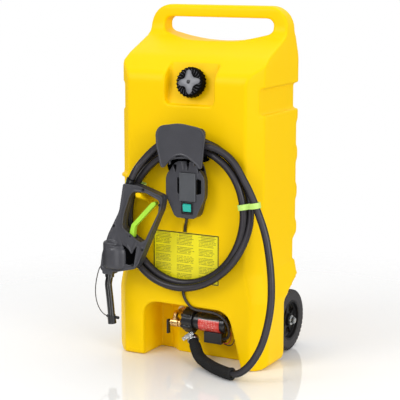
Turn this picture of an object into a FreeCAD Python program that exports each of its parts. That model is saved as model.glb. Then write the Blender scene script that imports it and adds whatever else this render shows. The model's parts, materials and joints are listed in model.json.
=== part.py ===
import FreeCAD, Part
import Sketcher
import math
import os

# A wheeled fuel caddy: a hollow moulded tank on two wheels, with a filler cap, an electric
# pump and angle valve in a niche at its foot, and a hose coiled on a hook that ends in a
# trigger nozzle. Millimetres. The origin is on the floor under the middle of the tank,
# +X is to the right of someone who faces the tank, +Y goes to its back, +Z goes up.

App = FreeCAD
V = App.Vector

DIMENSIONS = [
    # The tank as a whole
    ("tank_height", 1067), ("tank_width", 477), ("tank_depth", 284), ("tank_wall", 5),
    ("corner_chamfer", 42), ("chamfer_round", 12), ("rear_corner", 14),
    ("foot_width", 512), ("foot_corner", 28), ("flare_low_z", 204), ("flare_high_z", 292),
    # The sloping deck and the handle above it
    ("deck_front_z", 868), ("deck_knee_back", 70), ("deck_knee_z", 924),
    ("deck_front_round", 50), ("deck_knee_round", 120), ("handle_foot_round", 45),
    ("handle_foot_z", 982), ("handle_rear_y", 112), ("handle_thick", 48),
    ("handle_edge_round", 14), ("handle_width", 460), ("handle_corner", 70),
    ("handle_trim", 1),
    ("shoulder_z", 905), ("shoulder_round", 60), ("handle_low_z", 1000),
    ("hole_width", 372), ("hole_top_z", 1030), ("hole_end_z", 986), ("hole_sag_z", 940),
    ("hole_corner", 23), ("hole_sag_round", 600), ("hole_scoop", 44),
    # Bands, ribs and notches
    ("band_low_z", 760), ("band_high_z", 838), ("band_depth", 13),
    ("rib_first_z", 393), ("rib_pitch", 115.5), ("rib_root", 54), ("rib_crest", 18),
    ("rib_depth", 18), ("rib_top_z", 735), ("notch_low_z", 300), ("notch_high_z", 360),
    ("notch_depth", 35), ("recess_width", 376), ("recess_low_z", 262),
    ("recess_high_z", 862), ("recess_floor_y", 40), ("recess_corner", 30),
    # Underside and wheel bays
    ("heel_y", 12), ("heel_rise", 62), ("axle_block_top_z", 236), ("bay_inner_x", 176),
    ("bay_corner_z", 190), ("bay_arch_y", 50), ("bay_arch_z", 211), ("bay_top_z", 246),
    # Filler neck and cap
    ("cap_x", 10), ("cap_z", 845), ("cap_tilt", 13), ("seat_depth", 33),
    ("pocket_width", 164), ("pocket_height", 134), ("pocket_corner", 18),
    ("neck_radius", 33.4), ("neck_bore", 28), ("neck_height", 22), ("neck_spigot", 32),
    ("gasket_thick", 3), ("cap_bore_gap", 4.2), ("cap_skirt_wall", 6), ("cap_top", 6),
    ("cap_rib", 2.5), ("cap_rib_width", 3), ("cap_seat_gap", 4), ("star_tip", 35),
    ("star_waist", 20), ("star_thick", 2.5), ("star_button", 6),
    # Pump niche
    ("niche_left_x", 150), ("niche_right_x", 140), ("niche_hip_x", 162),
    ("niche_hip_z", 95), ("niche_foot_x", 191), ("niche_top_z", 174), ("niche_depth", 90),
    ("niche_deep", 117), ("niche_step_x", 75), ("niche_corner_left", 45),
    ("niche_corner_right", 50), ("below_floor", 20),
    # Wheels and axle
    ("axle_y", 127), ("axle_radius", 8), ("axle_clearance", 0.3), ("wheel_radius", 96),
    ("wheel_width", 43), ("wheel_gap", 9), ("rim_radius", 62), ("rim_wall", 5),
    ("hub_radius", 19), ("bush_radius", 11), ("bush_clearance", 0.06), ("web_thick", 8),
    ("window_inner", 25), ("window_outer", 52), ("window_angle", 26), ("tread_depth", 5),
    ("tread_slot", 6), ("hub_recess", 2), ("washer_radius", 15), ("washer_thick", 2),
    ("nut_radius", 11), ("nut_thick", 9), ("axle_end", 3),
    # Hose hook and its back plate
    ("hook_x", 18), ("hook_plate_thick", 4), ("hook_plate_width", 112),
    ("hook_plate_low_z", 476), ("hook_plate_high_z", 724), ("saddle_top_z", 640.7),
    ("saddle_x", 28.7), ("saddle_radius", 165), ("saddle_wall", 7), ("saddle_width", 128),
    ("flange_y", 200), ("flange_thick", 6), ("flange_top_z", 733), ("flange_low_z", 600),
    ("flange_width", 164), ("arch_top_z", 634), ("arch_width", 118),
    ("screw_radius", 2.5), ("screw_head", 5), ("screw_length", 14), ("screw_fit", 0.05),
    ("boss_radius", 9), ("boss_depth", 22), ("hook_screw_high_z", 713),
    ("hook_screw_low_z", 486), ("hook_screw_spread", 38),
    # Switch housing below the hook
    ("pod_x", 20), ("pod_width", 130), ("pod_low_z", 454), ("pod_high_z", 624),
    ("pod_depth", 36), ("pod_wall", 3), ("battery_width", 54), ("battery_low_z", 506),
    ("battery_high_z", 590), ("battery_x", 29), ("battery_depth", 30),
    ("battery_proud", 3), ("battery_gap", 0.4), ("slot_width", 9), ("slot_low_z", 528),
    ("slot_high_z", 572), ("switch_x", 28), ("switch_z", 485.5), ("switch_width", 34),
    ("switch_height", 33), ("switch_depth", 16), ("switch_lip", 2.5), ("switch_wall", 3),
    ("rocker_gap", 0.7), ("rocker_angle", 8), ("rocker_pivot", 3), ("rocker_thick", 8),
    ("gland_radius", 6.5), ("gland_length", 6), ("cable_radius", 3.5),
    # Label plate and the cable groove behind it
    ("label_left_x", 111), ("label_right_x", 113), ("label_low_z", 250),
    ("label_high_z", 403), ("label_thick", 1.2), ("label_corner", 8),
    ("groove_width", 12), ("groove_depth", 8.5), ("groove_high_z", 434),
    ("groove_low_z", 212), ("groove_high_x", -3), ("groove_low_x", -9),
    # Pump and motor
    ("pump_y", 97), ("pump_z", 121), ("head_radius", 34), ("head_left_x", -17),
    ("head_right_x", 11), ("head_cover", 6), ("head_wall", 2.5), ("rotor_radius", 22),
    ("rotor_gap", 1.5), ("chamber_radius", 24), ("shaft_radius", 4), ("motor_radius", 26),
    ("motor_wall", 2.5), ("motor_right_x", 104), ("bell_length", 16), ("band_thick", 2),
    ("band_left_x", 32), ("magnet_thick", 2.5), ("armature_radius", 19.5),
    ("bearing_radius", 8), ("bearing_width", 5), ("bearing_gap", 0.06),
    ("bracket_left_x", 48), ("bracket_width", 42), ("bracket_height", 46),
    ("bracket_ear", 5), ("bracket_ear_reach", 15),
    ("box_left_x", 47), ("box_width", 60), ("box_depth", 36), ("box_low_z", 51),
    ("inlet_z", 106), ("port_radius", 9), ("port_bore", 5), ("nipple_length", 26),
    ("valve_radius", 13), ("valve_length", 24), ("ball_radius", 8.5), ("ball_bore", 4),
    ("valve_bore", 4.2), ("ball_gap", 0.1), ("stem_radius", 3), ("stem_length", 10),
    ("lever_length", 44), ("lever_width", 13), ("lever_thick", 6), ("elbow_z", 134),
    ("elbow_radius", 8), ("elbow_flange", 14), ("elbow_flange_thick", 3),
    ("outlet_radius", 9.5), ("outlet_bore", 7), ("outlet_length", 12),
    ("outlet_offset", 14), ("outlet_drop", 12),
    # Hose
    ("hose_radius", 11), ("sleeve_radius", 15), ("sleeve_gap", 0.2),
    ("coil_x", 9.5), ("coil_z", 451), ("coil_tilt", 58), ("coil_inner_long", 196),
    ("coil_inner_short", 174), ("coil_outer_x", 11), ("coil_outer_z", 466),
    ("coil_outer_long", 246), ("coil_outer_short", 220), ("coil_y", 158),
    ("strap_thick", 2), ("strap_width", 14), ("strap_gap", 0.3),
    ("clamp_width", 10), ("clamp_thick", 1.5),
    # Nozzle
    ("nozzle_y", 199.5), ("nozzle_thick", 33), ("barrel_radius", 29),
    ("barrel_x", -221), ("barrel_low_z", 286), ("barrel_high_z", 366),
    ("chamber_bore", 22), ("spout_x", -233), ("spout_radius", 11), ("spout_wall", 1.6),
    ("collar_radius", 14), ("spout_top_z", 272),
    ("spout_end_z", 108), ("dust_cap_wall", 1.8), ("dust_cap_length", 26),
    ("dust_cap_gap", 0.1), ("tether_radius", 1.5), ("inlet_x", -152), ("inlet_top_z", 560),
    ("inlet_radius", 14), ("trigger_thick", 16),
    ("trigger_pin_radius", 3), ("trigger_gap", 0.06), ("pivot_x", -150),
    ("pivot_z", 389), ("peg_x", -118), ("peg_width", 20), ("peg_height", 15),
    ("peg_slope", 20), ("peg_top_z", 524), ("peg_end", 6),
]


class Size:
    """A length that knows its number and the sheet formula that gives it."""

    def __init__(self, value, text):
        self.value = value
        self.text = text

    def __add__(self, other):
        return Size(self.value + number(other), f"({self.text} + {formula(other)})")

    def __sub__(self, other):
        return Size(self.value - number(other), f"({self.text} - {formula(other)})")

    def __mul__(self, other):
        return Size(self.value * number(other), f"({self.text} * {formula(other)})")

    def __truediv__(self, other):
        return Size(self.value / number(other), f"({self.text} / {formula(other)})")

    def __radd__(self, other):
        return Size(number(other) + self.value, f"({formula(other)} + {self.text})")

    def __rsub__(self, other):
        return Size(number(other) - self.value, f"({formula(other)} - {self.text})")

    def __rmul__(self, other):
        return Size(number(other) * self.value, f"({formula(other)} * {self.text})")

    def __neg__(self):
        return Size(-self.value, f"(0 - {self.text})")

    def __float__(self):
        return float(self.value)


def number(size):
    return size.value if isinstance(size, Size) else size


def formula(size):
    return size.text if isinstance(size, Size) else repr(float(size))


doc = App.newDocument("FuelCaddy")


class Sizes:
    """The driving dimensions, kept in the document's sheet and read by their names."""

    def __init__(self, rows):
        sheet = doc.addObject("Spreadsheet::Sheet", "Sheet")
        for row, (name, value) in enumerate(rows, start=1):
            sheet.set(f"A{row}", name)
            sheet.set(f"B{row}", str(value))
            sheet.setAlias(f"B{row}", name)
            setattr(self, name, Size(value, "Sheet." + name))


S = Sizes(DIMENSIONS)
doc.recompute()

ALONG_X = V(1, 0, 0)
ALONG_Y = V(0, 1, 0)
ALONG_Z = V(0, 0, 1)
TOWARDS_USER = V(0, -1, 0)
DOWN = V(0, 0, -1)
# A plate drawn in X and Z that grows from its back face towards the user
FRONT = App.Rotation(ALONG_X, 90)

FRONT_Y = -S.tank_depth / 2
REAR_Y = S.tank_depth / 2


def direction(along):
    return App.Rotation(ALONG_Z, along)


def point(*sizes):
    return V(*[float(size) for size in sizes])


def bind(obj, path, size):
    """Give a property its number, and its sheet formula when the size has one."""
    if isinstance(size, Size):
        obj.setExpression(path, size.text)
    elif "." not in path:
        setattr(obj, path, size)


def place(obj, at, rotation=None):
    obj.Placement = App.Placement(point(*at), rotation or App.Rotation())
    for axis, size in zip("xyz", at):
        bind(obj, "Placement.Base." + axis, size)
    return obj


def box(name, sides, at, rotation=None):
    obj = doc.addObject("Part::Box", name)
    for path, size in zip(("Length", "Width", "Height"), sides):
        bind(obj, path, size)
    return place(obj, at, rotation)


def rod(name, radius, length, at, along=ALONG_Z):
    obj = doc.addObject("Part::Cylinder", name)
    bind(obj, "Radius", radius)
    bind(obj, "Height", length)
    return place(obj, at, direction(along))


def ball_of(name, radius, at):
    obj = doc.addObject("Part::Sphere", name)
    bind(obj, "Radius", radius)
    return place(obj, at)


def fuse(name, *objects):
    obj = doc.addObject("Part::MultiFuse", name)
    obj.Shapes = list(objects)
    return obj


def cut(name, base, *tools):
    obj = doc.addObject("Part::Cut", name)
    obj.Base = base
    obj.Tool = tools[0] if len(tools) == 1 else fuse(name + "_tools", *tools)
    return obj


def common(name, *objects):
    obj = doc.addObject("Part::MultiCommon", name)
    obj.Shapes = list(objects)
    return obj


def feature(name, shape):
    obj = doc.addObject("Part::Feature", name)
    obj.Shape = shape
    return obj


def pipe_ring(name, outer, inner, length, at, along=ALONG_Z):
    """A plain tube: an outer cylinder with a bore right through it."""
    return cut(name, rod(name + "_outside", outer, length, at, along),
               rod(name + "_bore", inner, length, at, along))


def rounded_edges(points, radii, closed=True):
    """Straight runs joined by tangent arcs, through points of which each has a radius."""
    count = len(points)
    starts, ends, middles = [], [], []
    for i, corner in enumerate(points):
        if not closed and i in (0, count - 1) or radii[i] == 0:
            starts.append(corner)
            ends.append(corner)
            middles.append(None)
            continue
        inward = (corner - points[i - 1]).normalize()
        outward = (points[(i + 1) % count] - corner).normalize()
        half_turn = inward.getAngle(outward) / 2
        reach = radii[i] * math.tan(half_turn)
        centre_way = (outward - inward).normalize()
        starts.append(corner - inward * reach)
        ends.append(corner + outward * reach)
        middles.append(corner + centre_way * (radii[i] / math.cos(half_turn) - radii[i]))
    edges = []
    for i in range(count):
        if middles[i] is not None:
            edges.append(Part.Arc(starts[i], middles[i], ends[i]))
        if closed or i < count - 1:
            following = starts[(i + 1) % count]
            if ends[i].distanceToPoint(following) > 1e-6:
                edges.append(Part.LineSegment(ends[i], following))
    return edges


PLANES = {
    "XY": lambda u, v, level: V(u, v, level),
    "XZ": lambda u, v, level: V(u, level, v),
    "YZ": lambda u, v, level: V(level, u, v),
}


def outline(points, plane="XY", level=0.0):
    """The rounded edges of a flat outline: each corner is (u, v) or (u, v, radius)."""
    corners = [PLANES[plane](float(p[0]), float(p[1]), float(level)) for p in points]
    radii = [float(p[2]) if len(p) > 2 else 0.0 for p in points]
    return rounded_edges(corners, radii)


def wire(edges):
    return Part.Wire([edge.toShape() for edge in edges])


def prism(points, plane, start, end, grow=0.0):
    """A solid drawn in a plane and pushed along its normal, its outline grown evenly."""
    drawn = wire(outline(points, plane, start))
    if grow:
        drawn = drawn.makeOffset2D(grow)
    normal = {"XY": ALONG_Z, "XZ": ALONG_Y, "YZ": ALONG_X}[plane]
    return Part.Face(drawn).extrude(normal * (float(end) - float(start)))


def cylinder(radius, length, at, along=ALONG_Z):
    return Part.makeCylinder(float(radius), float(length), at, along)


def block(low, high):
    """A box between two corners."""
    return Part.makeBox(high.x - low.x, high.y - low.y, high.z - low.z, low)


def origin_plane(body, role):
    return next(f for f in body.Origin.OriginFeatures if f.Role == role)


def sketch_on(body, role, name):
    sketch = body.newObject("Sketcher::SketchObject", name)
    sketch.AttachmentSupport = [(origin_plane(body, role), "")]
    sketch.MapMode = "FlatFace"
    return sketch


def polygon(sketch, points):
    """A closed polygon, each corner tied to the sketch's origin by its sizes."""
    count = len(points)
    corners = [V(float(u), float(v), 0) for u, v in points]
    for i in range(count):
        sketch.addGeometry(Part.LineSegment(corners[i], corners[(i + 1) % count]))
    for i in range(count):
        sketch.addConstraint(Sketcher.Constraint("Coincident", i, 2, (i + 1) % count, 1))
    for i, sizes in enumerate(points):
        for kind, size in zip(("DistanceX", "DistanceY"), sizes):
            tie = Sketcher.Constraint(kind, -1, 1, i, 1, float(size))
            index = sketch.addConstraint(tie)
            if isinstance(size, Size):
                sketch.setExpression(f"Constraints[{index}]", size.text)


def circle(sketch, radius, centre=(0, 0)):
    index = sketch.addGeometry(Part.Circle(V(*[float(c) for c in centre], 0), ALONG_Z, float(radius)))
    size = sketch.addConstraint(Sketcher.Constraint("Radius", index, float(radius)))
    if isinstance(radius, Size):
        sketch.setExpression(f"Constraints[{size}]", radius.text)
    for kind, value in zip(("DistanceX", "DistanceY"), centre):
        tie = sketch.addConstraint(Sketcher.Constraint(kind, -1, 1, index, 3, float(value)))
        if isinstance(value, Size):
            sketch.setExpression(f"Constraints[{tie}]", value.text)


def turned(name, profile, at=(0, 0, 0), along=ALONG_Z):
    """A piece turned about its own axis from a profile of (radius, height) corners."""
    body = doc.addObject("PartDesign::Body", name)
    sketch = sketch_on(body, "XZ_Plane", name + "_profile")
    polygon(sketch, profile)
    spin = body.newObject("PartDesign::Revolution", name + "_turned")
    spin.Profile = sketch
    spin.ReferenceAxis = (sketch, ["V_Axis"])
    spin.Angle = 360
    return place(body, at, direction(along))


def plate(name, corners, thickness, at=(0, 0, 0), rotation=FRONT):
    """A plate padded from an outline: sized corners are tied, rounded ones are traced."""
    body = doc.addObject("PartDesign::Body", name)
    sketch = sketch_on(body, "XY_Plane", name + "_outline")
    if any(len(corner) > 2 for corner in corners):
        sketch.addGeometry(outline(corners))
    else:
        polygon(sketch, corners)
    pad = body.newObject("PartDesign::Pad", name + "_pad")
    pad.Profile = sketch
    bind(pad, "Length", thickness)
    return place(body, at, rotation)


def rectangle(left, right, low, high):
    return [(left, low), (right, low), (right, high), (left, high)]


def pocket(body, name, corners, count=1):
    """Cut an outline right through a body, repeated round its axis."""
    sketch = sketch_on(body, "XY_Plane", name + "_outline")
    polygon(sketch, corners)
    hole = body.newObject("PartDesign::Pocket", name)
    hole.Profile = sketch
    hole.Type = "ThroughAll"
    hole.Reversed = True
    return around(body, name, hole, count)


def around(body, name, piece, count):
    if count > 1:
        pattern = body.newObject("PartDesign::PolarPattern", name + "_pattern")
        pattern.Originals = [piece]
        pattern.Axis = (origin_plane(body, "Z_Axis"), [""])
        pattern.Angle = 360
        pattern.Occurrences = count
        body.Tip = pattern
    return body


def piece(label, obj):
    """Name one sub-part of the caddy."""
    obj.Label = label
    PIECES[label] = obj
    return obj


PIECES = {}


# The tank

def side_outline():
    """The tank seen from the side, as (Y, Z) corners with their rounding."""
    front, rear = float(FRONT_Y), float(REAR_Y)
    valley = rear - float(S.rib_depth)
    knee_y = front + float(S.deck_knee_back)
    handle_front = float(S.handle_rear_y) - float(S.handle_thick)
    edge = float(S.handle_edge_round)
    corners = [(front, 0, 14), (float(S.heel_y), 0, 20), (rear, float(S.heel_rise), 14),
               (rear, float(S.axle_block_top_z), 8), (valley, float(S.bay_top_z) + 8, 6),
               (valley, float(S.notch_low_z) - 7, 4),
               (rear - float(S.notch_depth), float(S.notch_low_z), 4),
               (rear - float(S.notch_depth), float(S.notch_high_z), 4)]
    root, crest = float(S.rib_root) / 2, float(S.rib_crest) / 2
    for i in range(3):
        middle = float(S.rib_first_z) + i * float(S.rib_pitch)
        if i:
            corners.append((valley, middle - root, 8))
        corners += [(rear, middle - crest, 5), (rear, middle + crest, 5),
                    (valley, middle + root, 8)]
    corners += [(valley, float(S.rib_top_z) - crest * 2, 8), (rear, float(S.rib_top_z), 5),
                (rear, float(S.shoulder_z), float(S.shoulder_round)),
                (float(S.handle_rear_y) + 1, float(S.handle_low_z), 40),
                (float(S.handle_rear_y), float(S.tank_height), edge),
                (handle_front, float(S.tank_height), edge),
                (handle_front - 4, float(S.handle_foot_z), float(S.handle_foot_round)),
                (knee_y, float(S.deck_knee_z), float(S.deck_knee_round)),
                (front, float(S.deck_front_z), float(S.deck_front_round))]
    return corners


def front_outline():
    """The tank seen from the front, as (X, Z) corners with their rounding.

    Its top stands a little above the handle, whose flat top trims it.
    """
    foot, half = float(S.foot_width) / 2, float(S.tank_width) / 2
    top = float(S.handle_width) / 2
    peak = float(S.tank_height) + float(S.handle_trim)
    right = [(foot, 0, float(S.foot_corner)), (foot, float(S.shoulder_z) - 35),
             (half, float(S.shoulder_z)), (top, peak, float(S.handle_corner))]
    left = [(-p[0],) + p[1:] for p in reversed(right)]
    return right + left


def plan_outline(half):
    """The tank seen from above, with its two chamfered front corners."""
    front, rear = float(FRONT_Y), float(REAR_Y)
    chamfer, soft = float(S.corner_chamfer), float(S.chamfer_round)
    right = [(half - chamfer, front, soft), (half, front + chamfer, soft),
             (half, rear, float(S.rear_corner))]
    return right + [(-p[0],) + p[1:] for p in reversed(right)]


def handle_hole(grow):
    half = float(S.hole_width) / 2
    corner = float(S.hole_corner)
    edge = [(-half, S.hole_end_z, corner - 4), (0, S.hole_sag_z, S.hole_sag_round),
            (half, S.hole_end_z, corner - 4), (half, S.hole_top_z, corner),
            (-half, S.hole_top_z, corner)]
    start = float(S.handle_rear_y) - float(S.handle_thick) - float(S.hole_scoop) - grow
    return prism(edge, "XZ", start, float(REAR_Y) + 30, grow)


def side_bands(grow):
    """The shallow band round the sides and the back, below the shoulders."""
    low, high = float(S.band_low_z) - grow, float(S.band_high_z) + grow
    deep, far = float(S.band_depth) + grow, float(S.tank_width)
    edge, rear = float(S.tank_width) / 2 - deep, float(REAR_Y)
    right = block(V(edge, -far, low), V(far, far, high))
    left = block(V(-far, -far, low), V(-edge, far, high))
    back = block(V(-far, rear - deep, low), V(far, far, high))
    return right.fuse([left, back])


def cap_axis():
    tilt = math.radians(float(S.cap_tilt))
    return V(0, -math.cos(tilt), math.sin(tilt))


def cap_seat():
    return point(S.cap_x, FRONT_Y + S.seat_depth, S.cap_z)


def cap_pocket(grow):
    half_wide = float(S.pocket_width) / 2 + grow
    half_high = float(S.pocket_height) / 2 + grow
    corner = float(S.pocket_corner) + grow
    edge = [(-half_wide, -half_high, corner), (half_wide, -half_high, corner),
            (half_wide, half_high, corner), (-half_wide, half_high, corner)]
    tool = prism(edge, "XY", -grow, float(S.tank_depth) / 2)
    turn = App.Rotation(ALONG_X, 90 - float(S.cap_tilt))
    tool.Placement = App.Placement(cap_seat(), turn)
    return tool


def pump_niche(grow):
    low = -float(S.below_floor)
    face = [(-float(S.niche_left_x), low), (S.niche_foot_x, low),
            (S.niche_hip_x, S.niche_hip_z, 60),
            (S.niche_right_x, S.niche_top_z, S.niche_corner_right),
            (-float(S.niche_left_x), S.niche_top_z, S.niche_corner_left)]
    front = float(FRONT_Y)
    shallow, deep = front + float(S.niche_depth), front + float(S.niche_deep)
    step, far = float(S.niche_step_x), float(S.tank_width)
    floor = [(-far, 2 * front), (far, 2 * front), (far, shallow), (-step, shallow, 10),
             (-step - 35, deep, 10), (-far, deep)]
    tall = prism(floor, "XY", low - 30, float(S.niche_top_z) + 30, grow)
    return prism(face, "XZ", 2 * front, deep + grow, grow).common(tall)


def wheel_bay(grow, side):
    far = float(S.tank_width)
    heel = float(S.heel_y)
    edge = [(heel, -60), (far, -60), (far, float(S.bay_top_z) + 80),
            (float(REAR_Y) - float(S.rib_depth), float(S.bay_top_z)),
            (float(S.bay_arch_y), float(S.bay_arch_z), 30), (heel, float(S.bay_corner_z), 22)]
    inner = float(S.bay_inner_x) - grow
    if side > 0:
        return prism(edge, "YZ", inner, far, grow)
    return prism(edge, "YZ", -far, -inner, grow)


def back_recess(grow):
    half, corner = float(S.recess_width) / 2, float(S.recess_corner)
    edge = [(-half, S.recess_low_z, corner), (half, S.recess_low_z, corner),
            (half, S.recess_high_z, corner), (-half, S.recess_high_z, corner)]
    return prism(edge, "XZ", float(S.recess_floor_y) - grow, float(S.tank_depth), grow)


def cable_groove(grow):
    half = float(S.groove_width) / 2
    edge = [(S.groove_low_x - half, S.groove_low_z), (S.groove_low_x + half, S.groove_low_z),
            (S.groove_high_x + half, S.groove_high_z), (S.groove_high_x - half, S.groove_high_z)]
    front = float(FRONT_Y)
    return prism(edge, "XZ", 2 * front, front + float(S.groove_depth) + grow, grow)


def tank_form(inset):
    """The tank's outside, or with an inset the room inside its walls."""
    half, foot = float(S.tank_width) / 2, float(S.foot_width) / 2
    low, high = float(S.flare_low_z), float(S.flare_high_z)
    top = float(S.tank_height)
    upper = prism(plan_outline(half), "XY", high, top, -inset)
    lower = prism(plan_outline(foot), "XY", 0, low, -inset)
    wires = [wire(outline(plan_outline(foot), "XY", low)),
             wire(outline(plan_outline(half), "XY", high))]
    if inset:
        wires = [w.makeOffset2D(-inset) for w in wires]
    flare = Part.makeLoft(wires, True, True)
    stack = upper.fuse([flare, lower]).removeSplitter()
    side = prism(side_outline(), "YZ", -foot, foot, -inset)
    face = prism(front_outline(), "XZ", FRONT_Y, REAR_Y, -inset)
    hull = stack.common(side).common(face)
    hollows = [handle_hole(inset), side_bands(inset), cap_pocket(inset), pump_niche(inset),
               wheel_bay(inset, 1), wheel_bay(inset, -1), back_recess(inset),
               cable_groove(inset), axle_tunnel(inset)]
    return hull.cut(hollows)


def axle_tunnel(grow):
    radius = S.axle_radius.value + S.axle_clearance.value + grow
    length = float(S.foot_width)
    return cylinder(radius, length, V(-length / 2, float(S.axle_y), float(S.wheel_radius)), ALONG_X)


def hook_screw_places():
    spread = S.hook_screw_spread
    return [(S.hook_x + side * spread, FRONT_Y, z) for z in (S.hook_screw_high_z, S.hook_screw_low_z)
            for side in (-1, 1)]


NICHE_WALL_Y = FRONT_Y + S.niche_depth


def bracket_screw_places():
    middle = S.bracket_left_x + S.bracket_width / 2
    reach = S.bracket_width / 2 + S.bracket_ear_reach - 8
    return [(middle + side * reach, NICHE_WALL_Y, S.pump_z) for side in (-1, 1)]


def peg():
    """The sloping moulded peg that the nozzle's top bar hangs on."""
    slope = math.tan(math.radians(float(S.peg_slope)))
    tip_y = -float(S.nozzle_y) - float(S.nozzle_thick) / 2
    end = tip_y - float(S.peg_end)
    top, root = float(S.peg_top_z), float(FRONT_Y)
    tall = float(S.peg_height)
    fall = (root - tip_y) * slope
    buried = float(S.tank_wall) - 1
    edge = [(end, top + float(S.peg_end) * slope), (root + buried, top - fall - buried * slope),
            (root + buried, top - fall - tall - buried * slope), (end, top - tall + 2)]
    left = float(S.peg_x) - float(S.peg_width) / 2
    return prism([corner + (3,) if i in (0, 3) else corner for i, corner in enumerate(edge)],
                 "YZ", left, left + float(S.peg_width))


def lug():
    """The small moulded ledge on the left front corner, above the nozzle."""
    edge = [(-float(S.tank_width) / 2 + 6, -90), (-190, FRONT_Y + 3), (-200, FRONT_Y - 4, 4),
            (-222, FRONT_Y + 12, 5), (-float(S.tank_width) / 2 - 3, -112, 4)]
    return prism(edge, "XY", 550, 561)


def tank():
    axis, seat = cap_axis(), cap_seat()
    room = tank_form(float(S.tank_wall))
    posts = [cylinder(S.boss_radius, S.boss_depth, point(*at), ALONG_Y)
             for at in hook_screw_places() + bracket_screw_places()]
    room = room.cut(posts)
    reach = float(S.bay_inner_x) + float(S.wheel_gap) + float(S.hub_recess) - 0.3
    hub_post = cylinder(S.axle_radius + 6, 2 * reach, V(-reach, float(S.axle_y), float(S.wheel_radius)),
                        ALONG_X).cut(axle_tunnel(0))
    shell = tank_form(0).fuse([peg(), lug(), hub_post])
    drilled = S.screw_radius.value + S.screw_fit.value
    holes = [cylinder(drilled, S.screw_length, point(*at), ALONG_Y)
             for at in hook_screw_places() + bracket_screw_places()]
    bore = cylinder(S.neck_spigot, 2 * S.tank_wall + 1, seat - axis * float(2 * S.tank_wall), axis)
    outlet = cylinder(S.port_bore, 20, point(valve_x(), NICHE_WALL_Y - 5, S.elbow_z), ALONG_Y)
    shell = shell.cut([room, bore, outlet] + holes).removeSplitter()
    print(f"room inside the tank: {room.Volume / 1e6:.1f} litres")
    piece("tank", feature("tank", shell))


def neck_collar():
    """The collar that the filler cap screws onto, with a spigot in the pocket's floor."""
    axis = cap_axis()
    ring = pipe_ring("neck_ring", S.neck_radius, S.neck_bore, S.neck_height, on_cap_axis(0), axis)
    spigot = pipe_ring("neck_spigot", S.neck_spigot, S.neck_bore, S.tank_wall,
                       on_cap_axis(-S.tank_wall), axis)
    piece("neck_collar", fuse("neck_collar", ring, spigot))


# Label plate

def label_plate():
    corner = S.label_corner
    edge = [(-S.label_left_x, S.label_low_z, corner), (S.label_right_x, S.label_low_z, corner),
            (S.label_right_x, S.label_high_z, corner), (-S.label_left_x, S.label_high_z, corner)]
    piece("label_plate", plate("label_plate", edge, S.label_thick, (0, FRONT_Y, 0)))


# Wheels

def wheel_rim(name, at, along):
    inner, outer = S.wheel_width * 0.07, S.wheel_width * 0.93
    hub_low, hub_high = S.hub_recess, S.wheel_width - S.hub_recess
    web_low = S.wheel_width / 2
    web_high = web_low + S.web_thick
    barrel = S.rim_radius - S.rim_wall
    profile = [(S.bush_radius, hub_low), (S.hub_radius, hub_low), (S.hub_radius, web_low),
               (barrel, web_low), (barrel, inner), (S.rim_radius, inner),
               (S.rim_radius, outer), (barrel, outer), (barrel, web_high),
               (S.hub_radius, web_high), (S.hub_radius, hub_high), (S.bush_radius, hub_high)]
    rim = turned(name, profile, at, along)
    doc.recompute()
    half = math.radians(float(S.window_angle))
    near, away = S.window_inner, S.window_outer
    corners = [(near * math.cos(half * 0.7), near * -math.sin(half * 0.7)),
               (away * math.cos(half), away * -math.sin(half)),
               (away * 1.0, away * 0.0),
               (away * math.cos(half), away * math.sin(half)),
               (near * math.cos(half * 0.7), near * math.sin(half * 0.7))]
    return pocket(rim, name + "_window", corners, 5)


def wheel_tyre(name, at, along):
    wide, outer, seat = S.wheel_width, S.wheel_radius, S.rim_radius
    profile = [(seat, wide * 0.07), (seat + 12, 0), (outer - 9, 0), (outer, wide * 0.2),
               (outer, wide * 0.8), (outer - 9, wide), (seat + 12, wide), (seat, wide * 0.93)]
    tyre = turned(name, profile, at, along)
    doc.recompute()
    slot = S.tread_slot / 2
    corners = [(outer - S.tread_depth, -slot), (outer + 4, -slot), (outer + 4, slot),
               (outer - S.tread_depth, slot)]
    return pocket(tyre, name + "_tread", corners, 26)


def wheels():
    reach = S.bay_inner_x + S.wheel_gap
    hub = S.wheel_width - S.hub_recess * 2
    washers, nuts = [], []
    for side, word in ((1, "right"), (-1, "left")):
        along = ALONG_X * side
        at = (side * reach, S.axle_y, S.wheel_radius)
        piece(f"tyre_{word}", wheel_tyre(f"tyre_{word}", at, along))
        piece(f"rim_{word}", wheel_rim(f"rim_{word}", at, along))
        bush = turned(f"bush_{word}", rectangle(S.axle_radius + S.bush_clearance, S.bush_radius,
                                                S.hub_recess, S.hub_recess + hub), at, along)
        piece(f"bush_{word}", bush)
        washer_at = (side * (reach + S.wheel_width - S.hub_recess + 0.3), S.axle_y, S.wheel_radius)
        washers.append(pipe_ring(f"washer_{word}", S.washer_radius, S.axle_radius,
                                 S.washer_thick, washer_at, along))
        nut_at = (side * (reach + S.wheel_width - S.hub_recess + 0.3 + S.washer_thick),
                  S.axle_y, S.wheel_radius)
        nuts.append(hex_nut(f"nut_{word}", nut_at, along))
    fixings = doc.addObject("Part::Compound", "axle_fixings")
    fixings.Links = washers + nuts
    piece("axle_fixings", fixings)
    half = reach + S.wheel_width + S.washer_thick + S.nut_thick - S.hub_recess + S.axle_end
    piece("axle", rod("axle", S.axle_radius, half * 2, (-half, S.axle_y, S.wheel_radius), ALONG_X))


def hex_nut(name, at, along):
    body = doc.addObject("PartDesign::Body", name)
    sketch = sketch_on(body, "XY_Plane", name + "_outline")
    polygon(sketch, [(S.nut_radius * math.cos(math.radians(60 * i + 1)),
                      S.nut_radius * math.sin(math.radians(60 * i + 1))) for i in range(6)])
    circle(sketch, S.axle_radius)
    pad = body.newObject("PartDesign::Pad", name + "_pad")
    pad.Profile = sketch
    bind(pad, "Length", S.nut_thick)
    return place(body, at, direction(along))


# Filler cap

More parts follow.
